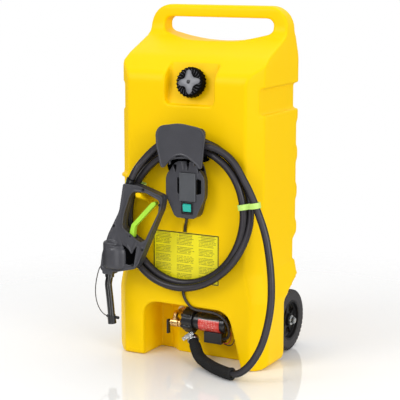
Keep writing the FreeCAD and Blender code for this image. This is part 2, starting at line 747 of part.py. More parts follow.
def on_cap_axis(height):
    """A place on the cap's axis, a given height above its seat, tied to the sheet."""
    tilt = math.radians(float(S.cap_tilt))
    return (S.cap_x, FRONT_Y + S.seat_depth - height * math.cos(tilt),
            S.cap_z + height * math.sin(tilt))


def filler_cap():
    axis = cap_axis()
    seat_top = S.neck_height + S.gasket_thick
    bore = S.neck_radius + S.cap_bore_gap
    skirt = bore + S.cap_skirt_wall
    profile = [(bore, S.cap_seat_gap), (skirt, S.cap_seat_gap), (skirt, seat_top + S.cap_top),
               (0, seat_top + S.cap_top), (0, seat_top), (bore, seat_top)]
    shell = turned("cap_shell", profile, on_cap_axis(0), axis)
    doc.recompute()
    sketch = sketch_on(shell, "XY_Plane", "cap_rib_outline")
    half = S.cap_rib_width / 2
    polygon(sketch, [(skirt - 2, -half), (skirt + S.cap_rib, -half),
                     (skirt + S.cap_rib, half), (skirt - 2, half)])
    rib = shell.newObject("PartDesign::Pad", "cap_rib")
    rib.Profile = sketch
    bind(rib, "Length", seat_top + S.cap_top - 2)
    pare = sketch_on(shell, "XZ_Plane", "cap_rib_foot")
    polygon(pare, [(skirt, -1), (skirt + 9, -1), (skirt + 9, S.cap_seat_gap), (skirt, S.cap_seat_gap)])
    around(shell, "cap_rib", rib, 28)
    foot = shell.newObject("PartDesign::Groove", "cap_rib_trim")
    foot.Profile = pare
    foot.ReferenceAxis = (pare, ["V_Axis"])
    foot.Angle = 360
    inner_foot = sketch_on(shell, "XZ_Plane", "cap_rib_inner_foot")
    polygon(inner_foot, rectangle(skirt - 3, skirt + 0.5, -1, S.cap_seat_gap))
    trim = shell.newObject("PartDesign::Groove", "cap_rib_inner_trim")
    trim.Profile = inner_foot
    trim.ReferenceAxis = (inner_foot, ["V_Axis"])
    trim.Angle = 360
    shell.Tip = trim
    piece("cap_shell", shell)
    gasket = turned("cap_gasket", rectangle(S.neck_bore + 1, S.neck_radius + 0.8, 0, S.gasket_thick),
                    on_cap_axis(S.neck_height), axis)
    piece("cap_gasket", gasket)
    corners = []
    for i in range(8):
        radius = S.star_tip if i % 2 == 0 else S.star_waist
        angle = math.radians(45 * i + 8)
        corners.append((radius * math.cos(angle), radius * math.sin(angle)))
    top = seat_top + S.cap_top
    star = plate("star", corners, S.star_thick, on_cap_axis(top), direction(axis))
    button = rod("star_button", S.star_button, S.star_thick + 1.2, on_cap_axis(top), axis)
    piece("cap_insert", fuse("cap_insert", star, button))


# Hose hook and its back plate

def hose_hook():
    half = S.hook_plate_width / 2
    edge = [(S.hook_x - half, S.hook_plate_low_z, 16), (S.hook_x + half, S.hook_plate_low_z, 16),
            (S.hook_x + half, S.hook_plate_high_z, 16), (S.hook_x - half, S.hook_plate_high_z, 16)]
    back = plate("hook_back", edge, S.hook_plate_thick, (0, FRONT_Y, 0))
    saddle_deep = S.flange_y - S.tank_depth / 2
    saddle_z = S.saddle_top_z - S.saddle_radius
    outside = rod("saddle_outside", S.saddle_radius, saddle_deep, (S.saddle_x, FRONT_Y, saddle_z),
                  TOWARDS_USER)
    inside = rod("saddle_inside", S.saddle_radius - S.saddle_wall, saddle_deep,
                 (S.saddle_x, FRONT_Y, saddle_z), TOWARDS_USER)
    reach = box("saddle_reach", (S.saddle_width, saddle_deep, 60),
                (S.hook_x - S.saddle_width / 2, -S.flange_y, S.saddle_top_z - 50))
    saddle = common("saddle", cut("saddle_arc", outside, inside), reach)
    wide, arch = S.flange_width / 2, S.arch_width / 2
    top, low = S.flange_top_z, S.flange_low_z
    x = S.hook_x
    face = [(x - wide - 2, top - 8, 32), (x - 4, top + 5, 120), (x + wide + 2, top - 8, 32),
            (x + wide - 14, low - 4, 7), (x + arch - 6, low + 18, 12), (x, S.arch_top_z + 19, 46),
            (x - arch - 6, low + 8, 10), (x - wide, top - 66, 30)]
    flange = plate("hook_flange", face, S.flange_thick, (0, -S.flange_y, 0))
    webs = [box(f"hook_web_{i}", (5, saddle_deep, 14),
                (S.hook_x + side * 40 - 2.5, -S.flange_y, S.saddle_top_z - S.saddle_wall - 18))
            for i, side in enumerate((-1, 1))]
    solid = fuse("hook_solid", back, saddle, flange, *webs)
    holes = [rod(f"hook_hole_{i}", S.screw_radius + 0.3, S.hook_plate_thick, at, TOWARDS_USER)
             for i, at in enumerate(hook_screw_places())]
    piece("hose_hook", cut("hose_hook", solid, *holes))


def wall_screws():
    """The screws of one kind that hold the hook and the motor bracket to the tank."""
    screws = [screw(f"hook_screw_{i}", at, S.hook_plate_thick)
              for i, at in enumerate(hook_screw_places())]
    screws += [screw(f"bracket_screw_{i}", at, S.bracket_ear)
               for i, at in enumerate(bracket_screw_places())]
    piece("wall_screws", fuse("wall_screws", *screws))


def screw(name, at, grip):
    """A pan head screw that goes into the wall behind a piece as thick as its grip."""
    radius, head, length = S.screw_radius, S.screw_head, S.screw_length
    profile = [(0, -length), (radius, -length), (radius, grip), (head, grip),
               (head, grip + 1.6), (head * 0.7, grip + 2.6), (0, grip + 2.6)]
    return turned(name, profile, at, TOWARDS_USER)


# Switch housing, battery and rocker switch

POD_BACK_Y = FRONT_Y - S.hook_plate_thick


def pod_outline(inset):
    x, half = float(S.pod_x), float(S.pod_width) / 2 - inset
    low, high = float(S.pod_low_z) + inset, float(S.pod_high_z) - inset
    middle = (low + high) / 2 + 8
    return [(x - 34, low, 20), (x + 34, low, 20), (x + half, middle - 30, 50),
            (x + half, middle + 32, 50), (x + 30, high, 34), (x - 30, high, 34),
            (x - half, middle + 32, 50), (x - half, middle - 30, 50)]


def battery_bay(gap):
    half = S.battery_width / 2 + gap
    return rectangle(S.battery_x - half, S.battery_x + half, S.battery_low_z - gap,
                     S.battery_high_z + gap)


def switch_housing():
    face_y = POD_BACK_Y - S.pod_depth
    shell = plate("pod_outside", pod_outline(0), S.pod_depth, (0, POD_BACK_Y, 0))
    room = plate("pod_room", pod_outline(float(S.pod_wall)), S.pod_depth - S.pod_wall,
                 (0, POD_BACK_Y, 0))
    hollow = cut("pod_hollow", shell, room)
    dock_depth = S.battery_depth + S.pod_wall - S.battery_proud + S.battery_gap
    dock = plate("pod_dock", battery_bay(S.pod_wall), dock_depth, (0, face_y + dock_depth, 0))
    bay = plate("pod_bay", battery_bay(S.battery_gap), S.battery_depth + 10,
                (0, face_y + S.battery_depth - S.battery_proud + S.battery_gap, 0))
    slots = []
    for i, left in enumerate((S.battery_x - S.battery_width / 2 - 7,
                              S.battery_x + S.battery_width / 2 - 2)):
        slots.append(box(f"finger_slot_{i}", (S.slot_width, 16, S.slot_high_z - S.slot_low_z),
                         (left, face_y - 1, S.slot_low_z)))
    opening = plate("switch_opening", switch_frame(0.0), 12, (0, face_y + 8, 0))
    gland_hole = rod("gland_hole", S.gland_radius - 1.5, S.gland_length + 8, gland_place(-1), ALONG_Z)
    notch = plate("pod_notch", [(S.pod_x - 14, S.pod_high_z + 4), (S.pod_x - 5, S.pod_high_z - 30),
                                (S.pod_x + 4, S.pod_high_z + 4)], 8, (0, face_y + 2.2, 0))
    solid = fuse("pod_solid", hollow, dock)
    piece("switch_housing", cut("switch_housing", solid, bay, opening, gland_hole, notch, *slots))


def switch_frame(inset):
    half_wide, half_high = S.switch_width / 2 - inset, S.switch_height / 2 - inset
    return rectangle(S.switch_x - half_wide, S.switch_x + half_wide, S.switch_z - half_high,
                     S.switch_z + half_high)


def gland_place(above):
    return (13, POD_BACK_Y - 12, S.pod_low_z - S.gland_length + above)


def battery():
    face_y = POD_BACK_Y - S.pod_depth
    back_y = face_y + S.battery_depth - S.battery_proud
    case = plate("battery_pack", battery_bay(0.0), S.battery_depth, (0, back_y, 0))
    piece("battery_pack", case)


def switch():
    face_y = POD_BACK_Y - S.pod_depth
    body = plate("switch_body", switch_frame(0.0), S.switch_depth, (0, face_y + S.switch_depth, 0))
    lip = plate("switch_lip", switch_frame(-2.0), S.switch_lip, (0, face_y, 0))
    well_depth = S.switch_depth - S.switch_wall
    well = plate("switch_well", switch_frame(S.switch_wall), well_depth + S.switch_lip,
                 (0, face_y + well_depth, 0))
    pin = (S.switch_x - S.switch_width / 2, face_y - S.switch_lip + S.rocker_pivot, S.switch_z)
    hole = rod("rocker_pin_hole", 1.56, S.switch_width, pin, ALONG_X)
    piece("switch_bezel", cut("switch_bezel", fuse("bezel_solid", body, lip), well, hole))
    tilt = math.radians(float(S.rocker_angle))
    half = S.switch_height / 2 - S.switch_wall - S.rocker_gap
    deep = S.rocker_thick - S.rocker_pivot
    profile = [(-half * math.cos(tilt), half * math.sin(tilt) + 1), (0.0, S.rocker_pivot - 1.5),
               (half * math.cos(tilt), half * math.sin(tilt) + 1),
               (half * 0.78, -deep), (half * -0.78, -deep)]
    width = S.switch_width - S.switch_wall * 2 - S.rocker_gap * 2
    # Local x runs up the switch, local y out of it, and the pad runs along the pin
    turn = App.Rotation(V(0, 0, 1), V(0, -1, 0), V(-1, 0, 0), "ZXY")
    rest = App.Rotation(ALONG_X, float(S.rocker_angle))
    at = (S.switch_x + width / 2, face_y - S.switch_lip + S.rocker_pivot, S.switch_z)
    paddle = plate("rocker_paddle", profile, width, at, rest.multiply(turn))
    axle = rod("rocker_pin", 1.5, S.switch_width, pin, ALONG_X)
    piece("rocker_switch", fuse("rocker_switch", paddle, axle))
    gland = pipe_ring("cable_gland", S.gland_radius, S.cable_radius + 0.8, S.gland_length,
                      gland_place(0), ALONG_Z)
    piece("cable_gland", gland)


# Pump, motor and valve

def pump_line(x, z=None):
    return (x, -S.pump_y, S.pump_z if z is None else z)


def pump():
    deep = S.head_right_x - S.head_left_x
    chamber = deep - S.head_wall
    head = [(S.shaft_radius + 0.5, chamber), (S.chamber_radius, chamber), (S.chamber_radius, 0),
            (S.head_radius, 0), (S.head_radius, deep), (S.shaft_radius + 0.5, deep)]
    body = turned("head_turned", head, pump_line(S.head_left_x), ALONG_X)
    outlet_x = S.head_left_x + S.outlet_offset
    port = rod("outlet_port", S.outlet_radius + 3, 16, pump_line(outlet_x, S.pump_z - S.head_radius - 4),
               ALONG_Z)
    port_bore = rod("outlet_port_bore", S.outlet_bore, 26,
                    pump_line(outlet_x, S.pump_z - S.head_radius - 4), ALONG_Z)
    keep = rod("chamber_keep", S.chamber_radius, chamber, pump_line(S.head_left_x), ALONG_X)
    piece("pump_head", cut("pump_head", fuse("head_solid", body, port), port_bore, keep))
    cover = rod("cover_disc", S.head_radius, S.head_cover,
                pump_line(S.head_left_x - S.head_cover), ALONG_X)
    boss = rod("inlet_boss", S.port_radius + 3, 6,
               pump_line(S.head_left_x - S.head_cover - 6, S.inlet_z), ALONG_X)
    inlet = rod("inlet_bore", S.port_bore, S.head_cover + 6,
                pump_line(S.head_left_x - S.head_cover - 6, S.inlet_z), ALONG_X)
    piece("pump_cover", cut("pump_cover", fuse("cover_solid", cover, boss), inlet))
    heads = []
    for i in range(6):
        angle = math.radians(60 * i)
        ring = S.head_radius - 5
        at = (S.head_left_x - S.head_cover, -S.pump_y + ring * math.cos(angle),
              S.pump_z + ring * math.sin(angle))
        heads.append(rod(f"cover_screw_{i}", 3.2, 2.6, at, -ALONG_X))
    piece("pump_screws", fuse("pump_screws", *heads))
    rotor = [(0, S.rotor_gap), (S.rotor_radius, S.rotor_gap), (S.rotor_radius, chamber - S.rotor_gap),
             (S.shaft_radius, chamber - S.rotor_gap),
             (S.shaft_radius, S.motor_right_x - S.head_left_x + 10),
             (0, S.motor_right_x - S.head_left_x + 10)]
    wheel = turned("rotor_turned", rotor, pump_line(S.head_left_x), ALONG_X)
    slots = [box(f"vane_slot_{i}", (chamber, 14, 3),
                 (S.head_left_x, -S.pump_y, S.pump_z), App.Rotation(ALONG_X, 72 * i)) for i in range(5)]
    for slot in slots:
        slot.Placement.Base += slot.Placement.Rotation.multVec(V(0, float(S.rotor_radius) - 12, -1.5))
    piece("pump_rotor", cut("pump_rotor", wheel, *slots))


def motor():
    left, right = S.head_right_x, S.motor_right_x
    inner = S.motor_radius - S.motor_wall
    can = turned("motor_housing", rectangle(inner, S.motor_radius, 0, right - left),
                 pump_line(left), ALONG_X)
    piece("motor_housing", can)
    shaft_room = S.bearing_radius
    bell = [(shaft_room, 0), (S.motor_radius, 0), (S.motor_radius, S.bell_length - 4),
            (S.motor_radius - 4, S.bell_length), (0, S.bell_length), (0, S.bell_length - 4),
            (shaft_room, S.bell_length - 4)]
    piece("motor_end_bell", turned("motor_end_bell", bell, pump_line(right), ALONG_X))
    band = turned("motor_band", rectangle(S.motor_radius, S.motor_radius + S.band_thick, 0,
                                          right - S.band_left_x - 2), pump_line(S.band_left_x), ALONG_X)
    piece("motor_band", band)
    magnets = []
    length = right - S.band_left_x - 14
    for i, side in enumerate((1, -1)):
        whole = pipe_ring(f"magnet_ring_{i}", inner, inner - S.magnet_thick, length,
                          pump_line(S.band_left_x + 6), ALONG_X)
        side_box = box(f"magnet_side_{i}", (length, 40, 34),
                       (S.band_left_x + 6, -S.pump_y - 20 + side * 22, S.pump_z - 17))
        magnets.append(common(f"magnet_{i}", whole, side_box))
    piece("motor_magnets", fuse("motor_magnets", *magnets))
    armature = pipe_ring("motor_armature", S.armature_radius, S.shaft_radius, length - 8,
                         pump_line(S.band_left_x + 10), ALONG_X)
    piece("motor_armature", armature)
    bearings = []
    seats = (left + 0.5, right + S.bell_length - 4 - S.bearing_width - 0.5)
    for i, x in enumerate(seats):
        outer = S.bearing_radius if i else inner
        bearings.append(pipe_ring(f"motor_bearing_{i}", outer, S.shaft_radius + S.bearing_gap,
                                  S.bearing_width, pump_line(x), ALONG_X))
    piece("motor_bearings", fuse("motor_bearings", *bearings))
    bracket()
    box_top = S.pump_z - S.motor_radius - S.band_thick
    lid = 3
    carton = box("junction_case", (S.box_width, S.box_depth, box_top - S.box_low_z + lid),
                 (S.box_left_x, -S.pump_y - S.box_depth / 2, S.box_low_z))
    relief = rod("junction_relief", S.motor_radius + S.band_thick, S.box_width,
                 pump_line(S.box_left_x), ALONG_X)
    piece("junction_box", cut("junction_box", carton, relief))


def bracket():
    """The cradle that carries the motor, with an ear at each side for its screw."""
    depth = S.niche_depth - S.tank_depth / 2 + S.pump_y
    low_z = S.pump_z - S.bracket_height / 2
    block_at = (S.bracket_left_x, -S.pump_y, low_z)
    cradle = box("bracket_block", (S.bracket_width, depth, S.bracket_height), block_at)
    ears = box("bracket_ears", (S.bracket_width + S.bracket_ear_reach * 2, S.bracket_ear, 20),
               (S.bracket_left_x - S.bracket_ear_reach, NICHE_WALL_Y - S.bracket_ear, S.pump_z - 10))
    seat = rod("bracket_seat", S.motor_radius + S.band_thick, S.bracket_width + 40,
               pump_line(S.bracket_left_x - 20), ALONG_X)
    holes = [rod(f"bracket_hole_{i}", S.screw_radius + 0.3, S.bracket_ear, at, TOWARDS_USER)
             for i, at in enumerate(bracket_screw_places())]
    piece("motor_bracket", cut("motor_bracket", fuse("bracket_solid", cradle, ears), seat, *holes))


def valve_x():
    return (S.head_left_x - S.head_cover - 6 - S.nipple_length + 6 - S.valve_length / 2)


def fittings():
    inlet_x = S.head_left_x - S.head_cover - 6
    body_right = valve_x() + S.valve_length / 2
    nipple = pipe_ring("inlet_nipple", S.port_radius, S.port_bore, inlet_x - body_right,
                       pump_line(body_right, S.inlet_z), ALONG_X)
    piece("inlet_nipple", nipple)
    centre = pump_line(valve_x(), S.inlet_z)
    barrel = rod("valve_barrel", S.valve_radius, S.valve_length,
                 pump_line(valve_x() - S.valve_length / 2, S.inlet_z), ALONG_X)
    tower = rod("valve_tower", S.elbow_radius + 2, S.valve_radius + 3, centre, ALONG_Z)
    cage = ball_of("valve_cage", S.ball_radius + S.ball_gap, centre)
    right_port = rod("valve_right_port", S.valve_bore, S.valve_length, centre, ALONG_X)
    top_port = rod("valve_top_port", S.valve_bore, 30, centre, ALONG_Z)
    stem_hole = rod("valve_stem_hole", S.stem_radius + 0.05, S.valve_length, centre, -ALONG_X)
    piece("valve_body", cut("valve_body", fuse("valve_solid", barrel, tower), cage, right_port,
                            top_port, stem_hole))
    ball = ball_of("ball_solid", S.ball_radius, centre)
    ball_through = rod("ball_axial_bore", S.ball_bore, S.valve_length, centre, ALONG_X)
    ball_side = rod("ball_side_bore", S.ball_bore, S.valve_length, centre, ALONG_Z)
    piece("valve_ball", cut("valve_ball", ball, ball_through, ball_side))
    stem_length = S.valve_length / 2 + S.stem_length - S.ball_radius + 1
    stem = rod("stem_rod", S.stem_radius, stem_length,
               pump_line(valve_x() - S.ball_radius + 1, S.inlet_z), -ALONG_X)
    stem_cut = ball_of("stem_seat", S.ball_radius, centre)
    piece("valve_stem", cut("valve_stem", stem, stem_cut))
    lever_x = valve_x() - S.valve_length / 2 - S.stem_length
    grip = box("lever_grip", (S.lever_thick, S.lever_width, S.lever_length),
               (lever_x - S.lever_thick + 0.0, -S.pump_y - S.lever_width / 2,
                S.inlet_z - S.lever_length + S.lever_width / 2))
    piece("valve_lever", grip)
    elbow()


def elbow():
    """The bent fitting from the valve's top into the wall of the tank."""
    low = point(valve_x(), -S.pump_y, S.inlet_z + S.valve_radius + 3)
    corner = point(valve_x(), -S.pump_y, S.elbow_z)
    wall = point(valve_x(), NICHE_WALL_Y, S.elbow_z)
    turn = 10.0
    outside = tube_solid([low, corner, wall], [turn] * 3, float(S.elbow_radius))
    inside = tube_solid([low, corner, wall], [turn] * 3, float(S.port_bore))
    flange = cylinder(S.elbow_flange, S.elbow_flange_thick,
                      wall - ALONG_Y * float(S.elbow_flange_thick), ALONG_Y)
    piece("tank_elbow", feature("tank_elbow", outside.fuse(flange).cut(inside)))


def outlet():
    """The barbed outlet under the pump head, and the clamp that holds the hose on it."""
    start = hose_start()
    way = hose_way()
    port = start + ALONG_Z * float(S.outlet_drop)
    stub = tube_solid([port, start, start + way * float(S.outlet_length)],
                      [0, 7.0, 0], float(S.outlet_radius))
    bore = tube_solid([port, start, start + way * float(S.outlet_length)],
                      [0, 7.0, 0], float(S.outlet_bore) - 2)
    piece("pump_outlet", feature("pump_outlet", stub.cut(bore)))


def hose_start():
    drop = S.head_radius + 4 + S.outlet_drop
    return point(S.head_left_x + S.outlet_offset, -S.pump_y, S.pump_z - drop)


def hose_way():
    return V(0.56, -0.52, -0.645).normalize()


# Hoses and cables

def tube_solid(points, radii, radius):
    """A round tube along straight runs joined by arcs."""
    edges = rounded_edges(points, radii, closed=False)
    spine = wire(edges)
    first = (points[1] - points[0]).normalize()
    profile = Part.Wire([Part.Circle(points[0], first, radius).toShape()])
    return spine.makePipeShell([profile], True, False, 2)


def arc_radii(points):
    """Each arc as large as its two runs allow."""
    radii = [0.0]
    for before, corner, after in zip(points, points[1:], points[2:]):
        shorter = min(corner.distanceToPoint(before), after.distanceToPoint(corner))
        half_turn = (corner - before).getAngle(after - corner) / 2
        radii.append(0.45 * shorter / math.tan(half_turn))
    return radii + [0.0]


def cord(label, points, radius, radii=None, bore=None):
    """A cord's tube, with its length, its tightest arc and a test of its volume."""
    radius = float(radius)
    radii = radii or arc_radii(points)
    solid = tube_solid(points, radii, radius)
    length = wire(rounded_edges(points, radii, closed=False)).Length
    section = math.pi * radius ** 2
    if abs(solid.Volume / (section * length) - 1) > 0.01:
        raise ValueError(f"{label}: the tube's volume is not its section times its length")
    if bore is not None:
        solid = solid.cut(tube_solid(points, radii, float(bore)))
    tight = min(r for r in radii if r)
    print(f"{label}: length {length:.0f}, tightest arc {tight:.0f}, diameter {2 * radius:.1f}")
    return piece(label, feature(label, solid))


LEG_ROUTE = [(50, -150, 25.5), (86, -177, 17.6), (127, -203, 15.6), (166, -222, 15.6),
             (196, -234, 16.6), (227, -242, 24.5), (255, -243, 45), (279, -238, 77),
             (298, -229, 119), (310, -219, 175), (316, -209, 238), (311, -199, 305),
             (299, -190, 370), (281, -180, 435), (258, -172, 496), (237, -166, 545),
             (221, -160, 577)]
SLEEVE_BENDS = 7
TAIL_ROUTE = [(-28, -182, 687), (-54, -182, 673), (-82, -182.5, 654), (-106, -185, 631),
              (-127, -190.5, 606), (-141, -199.5, 582)]
CABLE_ROUTE = [(13, -158, 461), (13, -158, 449.5), (11, -156.2, 440.5), (7.2, -152.2, 432.5),
               (2.8, -147.8, 425.5), (-0.9, -143.4, 418), (-3.2, -139.6, 410), (-4.4, -138.1, 401),
               (-5.2, -138.2, 380), (-6.2, -138.2, 340), (-7.5, -138.2, 300), (-8.5, -138.2, 262),
               (-9, -138.3, 246), (-8.8, -142, 229), (-6.5, -146, 213), (0, -147, 198),
               (11, -147.5, 184), (27, -146, 171), (50, -141, 167), (78, -135, 166),
               (103, -131, 161), (121, -128.5, 150), (133, -126, 133), (137.5, -122, 113),
               (134, -117, 95), (124, -111.5, 83), (110, -106, 78)]
TETHER_ROUTE = [(-257.5, -199.5, 289), (-266, -199.5, 282), (-273, -200, 266),
                (-280, -201, 240), (-284, -202, 210), (-283, -202, 182), (-277, -201, 158),
                (-267, -200, 141), (-256, -199.5, 131), (-245.8, -199.5, 127.5)]


def vectors(route):
    return [V(*place_) for place_ in route]


def hose():
    start = hose_start() + hose_way() * float(S.outlet_length)
    bend = hose_start() + hose_way() * 46
    leg = [start, bend] + vectors(LEG_ROUTE)
    radii = arc_radii(leg)
    cord("hose_leg", leg, S.hose_radius, radii)
    sleeve_end = (leg[SLEEVE_BENDS - 1] + leg[SLEEVE_BENDS]) / 2
    cord("hose_sleeve", leg[:SLEEVE_BENDS] + [sleeve_end], S.sleeve_radius,
         radii[:SLEEVE_BENDS] + [0.0], S.hose_radius.value + S.sleeve_gap.value)
    cord("hose_tail", vectors(TAIL_ROUTE) + [nozzle_top()], S.hose_radius)
    coil()
    straps()
    clamp()


def tilted_ellipse(x, z, long, short, y):
    tilt = math.radians(float(S.coil_tilt))
    centre = V(float(x), y, float(z))
    major = V(math.cos(tilt), 0, math.sin(tilt)) * float(long)
    minor = V(-math.sin(tilt), 0, math.cos(tilt)) * float(short)
    return Part.Wire([Part.Ellipse(centre + major, centre + minor, centre).toShape()])


def coil():
    """The outer shape of the hose's turns: a flat tilted ring, one hose thick."""
    y = -float(S.coil_y) - float(S.hose_radius)
    outer = tilted_ellipse(S.coil_outer_x, S.coil_outer_z, S.coil_outer_long, S.coil_outer_short, y)
    inner = tilted_ellipse(S.coil_x, S.coil_z, S.coil_inner_long, S.coil_inner_short, y)
    thick = ALONG_Y * (2 * float(S.hose_radius))
    ring = Part.Face(outer).extrude(thick).cut(Part.Face(inner).extrude(thick))
    leg = vectors(LEG_ROUTE)
    leg = tube_solid(leg, arc_radii(leg), float(S.hose_radius) + float(S.strap_gap))
    piece("hose_coil", feature("hose_coil", ring.cut(leg)))


def strap_loop(centre, angle, wide, deep):
    """A flat strap round a bundle of hose: a rounded ring, turned in the coil's plane."""
    thick, gap = float(S.strap_thick), float(S.strap_gap)
    half = wide / 2 + gap
    back = -float(S.coil_y) + float(S.hose_radius) + gap
    front = back - deep - 2 * gap
    
    def edge(out):
        return [(-half - out, front - out, 3 + out), (half + out, front - out, 3 + out),
                (half + out, back + out, 3 + out), (-half - out, back + out, 3 + out)]
    low = -float(S.strap_width) / 2
    ring = prism(edge(thick), "XY", low, -low).cut(prism(edge(0), "XY", low, -low))
    ring.Placement = App.Placement(V(centre[0], 0, centre[1]), App.Rotation(TOWARDS_USER, angle))
    return ring


def straps():
    ring = 2 * float(S.hose_radius)
    loops = [strap_loop((227.5, 507), 11, 86, ring + 16), strap_loop((-164, 550), -28, 58, ring)]
    piece("hose_straps", feature("hose_straps", Part.makeCompound(loops)))


def clamp():
    """The clamp that holds the sleeved hose on the pump's outlet."""
    way = hose_way()
    at = hose_start() + way * (float(S.outlet_length) + 2)
    inner = S.sleeve_radius.value + 0.1
    band = cylinder(inner + S.clamp_thick.value, S.clamp_width, at, way)
    band = band.cut(cylinder(inner, S.clamp_width, at, way))
    side = way.cross(ALONG_X).normalize()
    worm = cylinder(4.0, 14, at + way * 5 - ALONG_X * 7 + side * (inner + 5.2), ALONG_X)
    piece("hose_clamp", feature("hose_clamp", band.fuse(worm)))


def cables():
    cord("power_cable", vectors(CABLE_ROUTE), S.cable_radius)
    loops = [[(107.45, -104, 66), (116, -104, 64), (125, -104, 66), (131, -103, 75),
              (133, -102, 86), (133, -101, 97), (129, -100, 105), (120.4, -100, 107)],
             [(107.45, -96, 60), (117, -96, 57), (128, -96, 57), (137, -95, 65),
              (141, -94, 78), (141, -93, 92), (138, -92, 106), (131, -91, 114), (120.4, -91, 116)]]
    wires = []
    for route in loops:
        points = vectors(route)
        wires.append(tube_solid(points, arc_radii(points), 1.4))
    piece("motor_wires", feature("motor_wires", Part.makeCompound(wires)))


# Nozzle

NOZZLE_EDGE = [(-172, 547, 6), (-120, 545, 30), (-36, 519, 14), (-43, 478, 40),
               (-122, 305, 20), (-137, 289, 12), (-205, 272, 20), (-258, 271, 10),
               (-250, 326, 40), (-226, 390, 60), (-187, 462, 80)]
LOOP_EDGE = [(-139, 525, 15), (-93, 525, 16), (-47, 505, 11), (-52, 470, 20),
             (-97, 383, 14), (-114, 374, 10), (-134, 384, 8), (-177, 414, 16),
             (-171, 452, 40), (-152, 505, 30)]


def nozzle_body():
    middle = -float(S.nozzle_y)
    half = float(S.nozzle_thick) / 2
    loop = prism(LOOP_EDGE, "XZ", middle - 2 * half, middle + 2 * half)
    slab = prism(NOZZLE_EDGE, "XZ", middle - half, middle + half)
    barrel_low, barrel_high = float(S.barrel_low_z), float(S.barrel_high_z)
    radius = float(S.barrel_radius)
    centre = V(float(S.barrel_x), middle, barrel_low)
    barrel = cylinder(radius, barrel_high - barrel_low, centre)
    rim = [edge for edge in barrel.Edges if edge.Curve.TypeId == "Part::GeomCircle"]
    barrel = barrel.makeFillet(9.0, rim)
    lug_edge = [(-214, 262, 4), (-214, 300), (-250, 300), (-250, 262, 4)]
    foot = prism(lug_edge, "XZ", middle - 16, middle + 16)
    whole = slab.fuse([barrel, foot]).cut(loop)
    chamber = cylinder(S.chamber_bore, barrel_high - barrel_low - 20, centre + V(0, 0, 8))
    inlet, way = nozzle_top(), inlet_way()
    socket = cylinder(S.inlet_radius.value - 2 + 0.1, 40, inlet - way * 22.5, way)
    spout_seat = cylinder(S.spout_radius.value + 0.1, 40, V(float(S.spout_x), middle, 250))
    route = [inlet - way * 21, V(-175, middle, 470), V(-199, middle, 410),
             V(float(S.barrel_x), middle, 352)]
    passage = tube_solid(route, arc_radii(route), 6.0)
    pivot = point(S.pivot_x, middle + 2 * half, S.pivot_z)
    pin_hole = cylinder(S.trigger_pin_radius.value, 4 * half, pivot, TOWARDS_USER)
    slot_half = S.trigger_thick.value / 2 + 0.5
    slot = cylinder(17.0, 2 * slot_half, V(pivot.x, middle + slot_half, pivot.z), TOWARDS_USER)
    stem_way = cylinder(3.2, 70, V(float(S.barrel_x) + 12, middle, 350),
                        V(pivot.x - 6 - float(S.barrel_x) - 12, 0, pivot.z - 4 - 350))
    hollow = whole.cut([chamber, socket, spout_seat, passage, pin_hole, slot, stem_way])
    hollow = hollow.cut([cylinder(2.1, 4 * half, V(x, middle + 2 * half, z), TOWARDS_USER)
                         for x, z in NOZZLE_SCREWS])
    near = block(V(-400, middle - 100, 200), V(100, middle, 600))
    far = block(V(-400, middle, 200), V(100, middle + 100, 600))
    piece("nozzle_front_shell", feature("nozzle_front_shell", hollow.common(near)))
    piece("nozzle_back_shell", feature("nozzle_back_shell", hollow.common(far)))
    screws = []
    for i, (x, z) in enumerate(NOZZLE_SCREWS):
        screws.append(turned(f"nozzle_screw_{i}", [(0, -2 * half + 4), (2.0, -2 * half + 4), (2.0, 0.0),
                                                   (4.0, 0.0), (4.0, 1.4), (0, 1.4)],
                             (x, middle - half, z), TOWARDS_USER))
    piece("nozzle_screws", fuse("nozzle_screws", *screws))
    piece("nozzle_inlet", nozzle_inlet())


NOZZLE_SCREWS = [(-102, 534.5), (-47, 493), (-187, 289), (-141, 302), (-107, 352), (-206, 416)]


def nozzle_top():
    return point(S.inlet_x, -S.nozzle_y, S.inlet_top_z)


def inlet_way():
    """The line on which the hose comes into the nozzle, from the nozzle outwards."""
    return (vectors(TAIL_ROUTE)[-1] - nozzle_top()).normalize()


def nozzle_inlet():
    """The swivel between the hose and the grip, with its shank down in the shells."""
    profile = [(0, -22), (S.inlet_radius - 2, -22), (S.inlet_radius - 2, -8.5),
               (S.inlet_radius, -8.5), (S.inlet_radius, 0), (0, 0)]
    return turned("nozzle_inlet", profile, (S.inlet_x, -S.nozzle_y, S.inlet_top_z), inlet_way())


def spout():
    middle = -float(S.nozzle_y)
    x = float(S.spout_x)
    route = [V(x, middle, 286), V(x, middle, 252), V(x - 5.5, middle, 230),
             V(x + 1, middle, 175), V(x + 7, middle, float(S.spout_end_z))]
    outside = tube_solid(route, arc_radii(route), float(S.spout_radius))
    inside = tube_solid(route, arc_radii(route), S.spout_radius.value - S.spout_wall.value)
    collar = cylinder(S.collar_radius, 10, V(x, middle, float(S.spout_top_z) - 20))
    piece("nozzle_spout", feature("nozzle_spout", outside.fuse(collar).cut(inside)))
    way = (route[-2] - route[-1]).normalize()
    end = route[-1]
    wall = float(S.dust_cap_wall)
    inner = S.spout_radius.value + float(S.dust_cap_gap)
    long = float(S.dust_cap_length)
    cap = cylinder(inner + wall, long, end - way * (wall + 0.3), way)
    cap = cap.cut(cylinder(inner, long, end - way * 0.3, way))
    tab = prism([(0, 0), (15, 0, 4), (15, 9, 4), (0, 9)], "XZ", -3, 0)
    tab.translate(end + way * (long - 12) + V(inner + wall - 1, 1.5, 0))
    eye = prism([(-6, 0), (-0.6, 0), (-0.6, 8), (-6, 8, 2)], "XZ", -2.5, 2.5)
    eye.translate(V(end.x - inner - wall, middle, 124))
    solid = cap.fuse([tab, eye])
    piece("spout_cap", feature("spout_cap", solid))
    cord("cap_tether", vectors(TETHER_ROUTE), S.tether_radius)


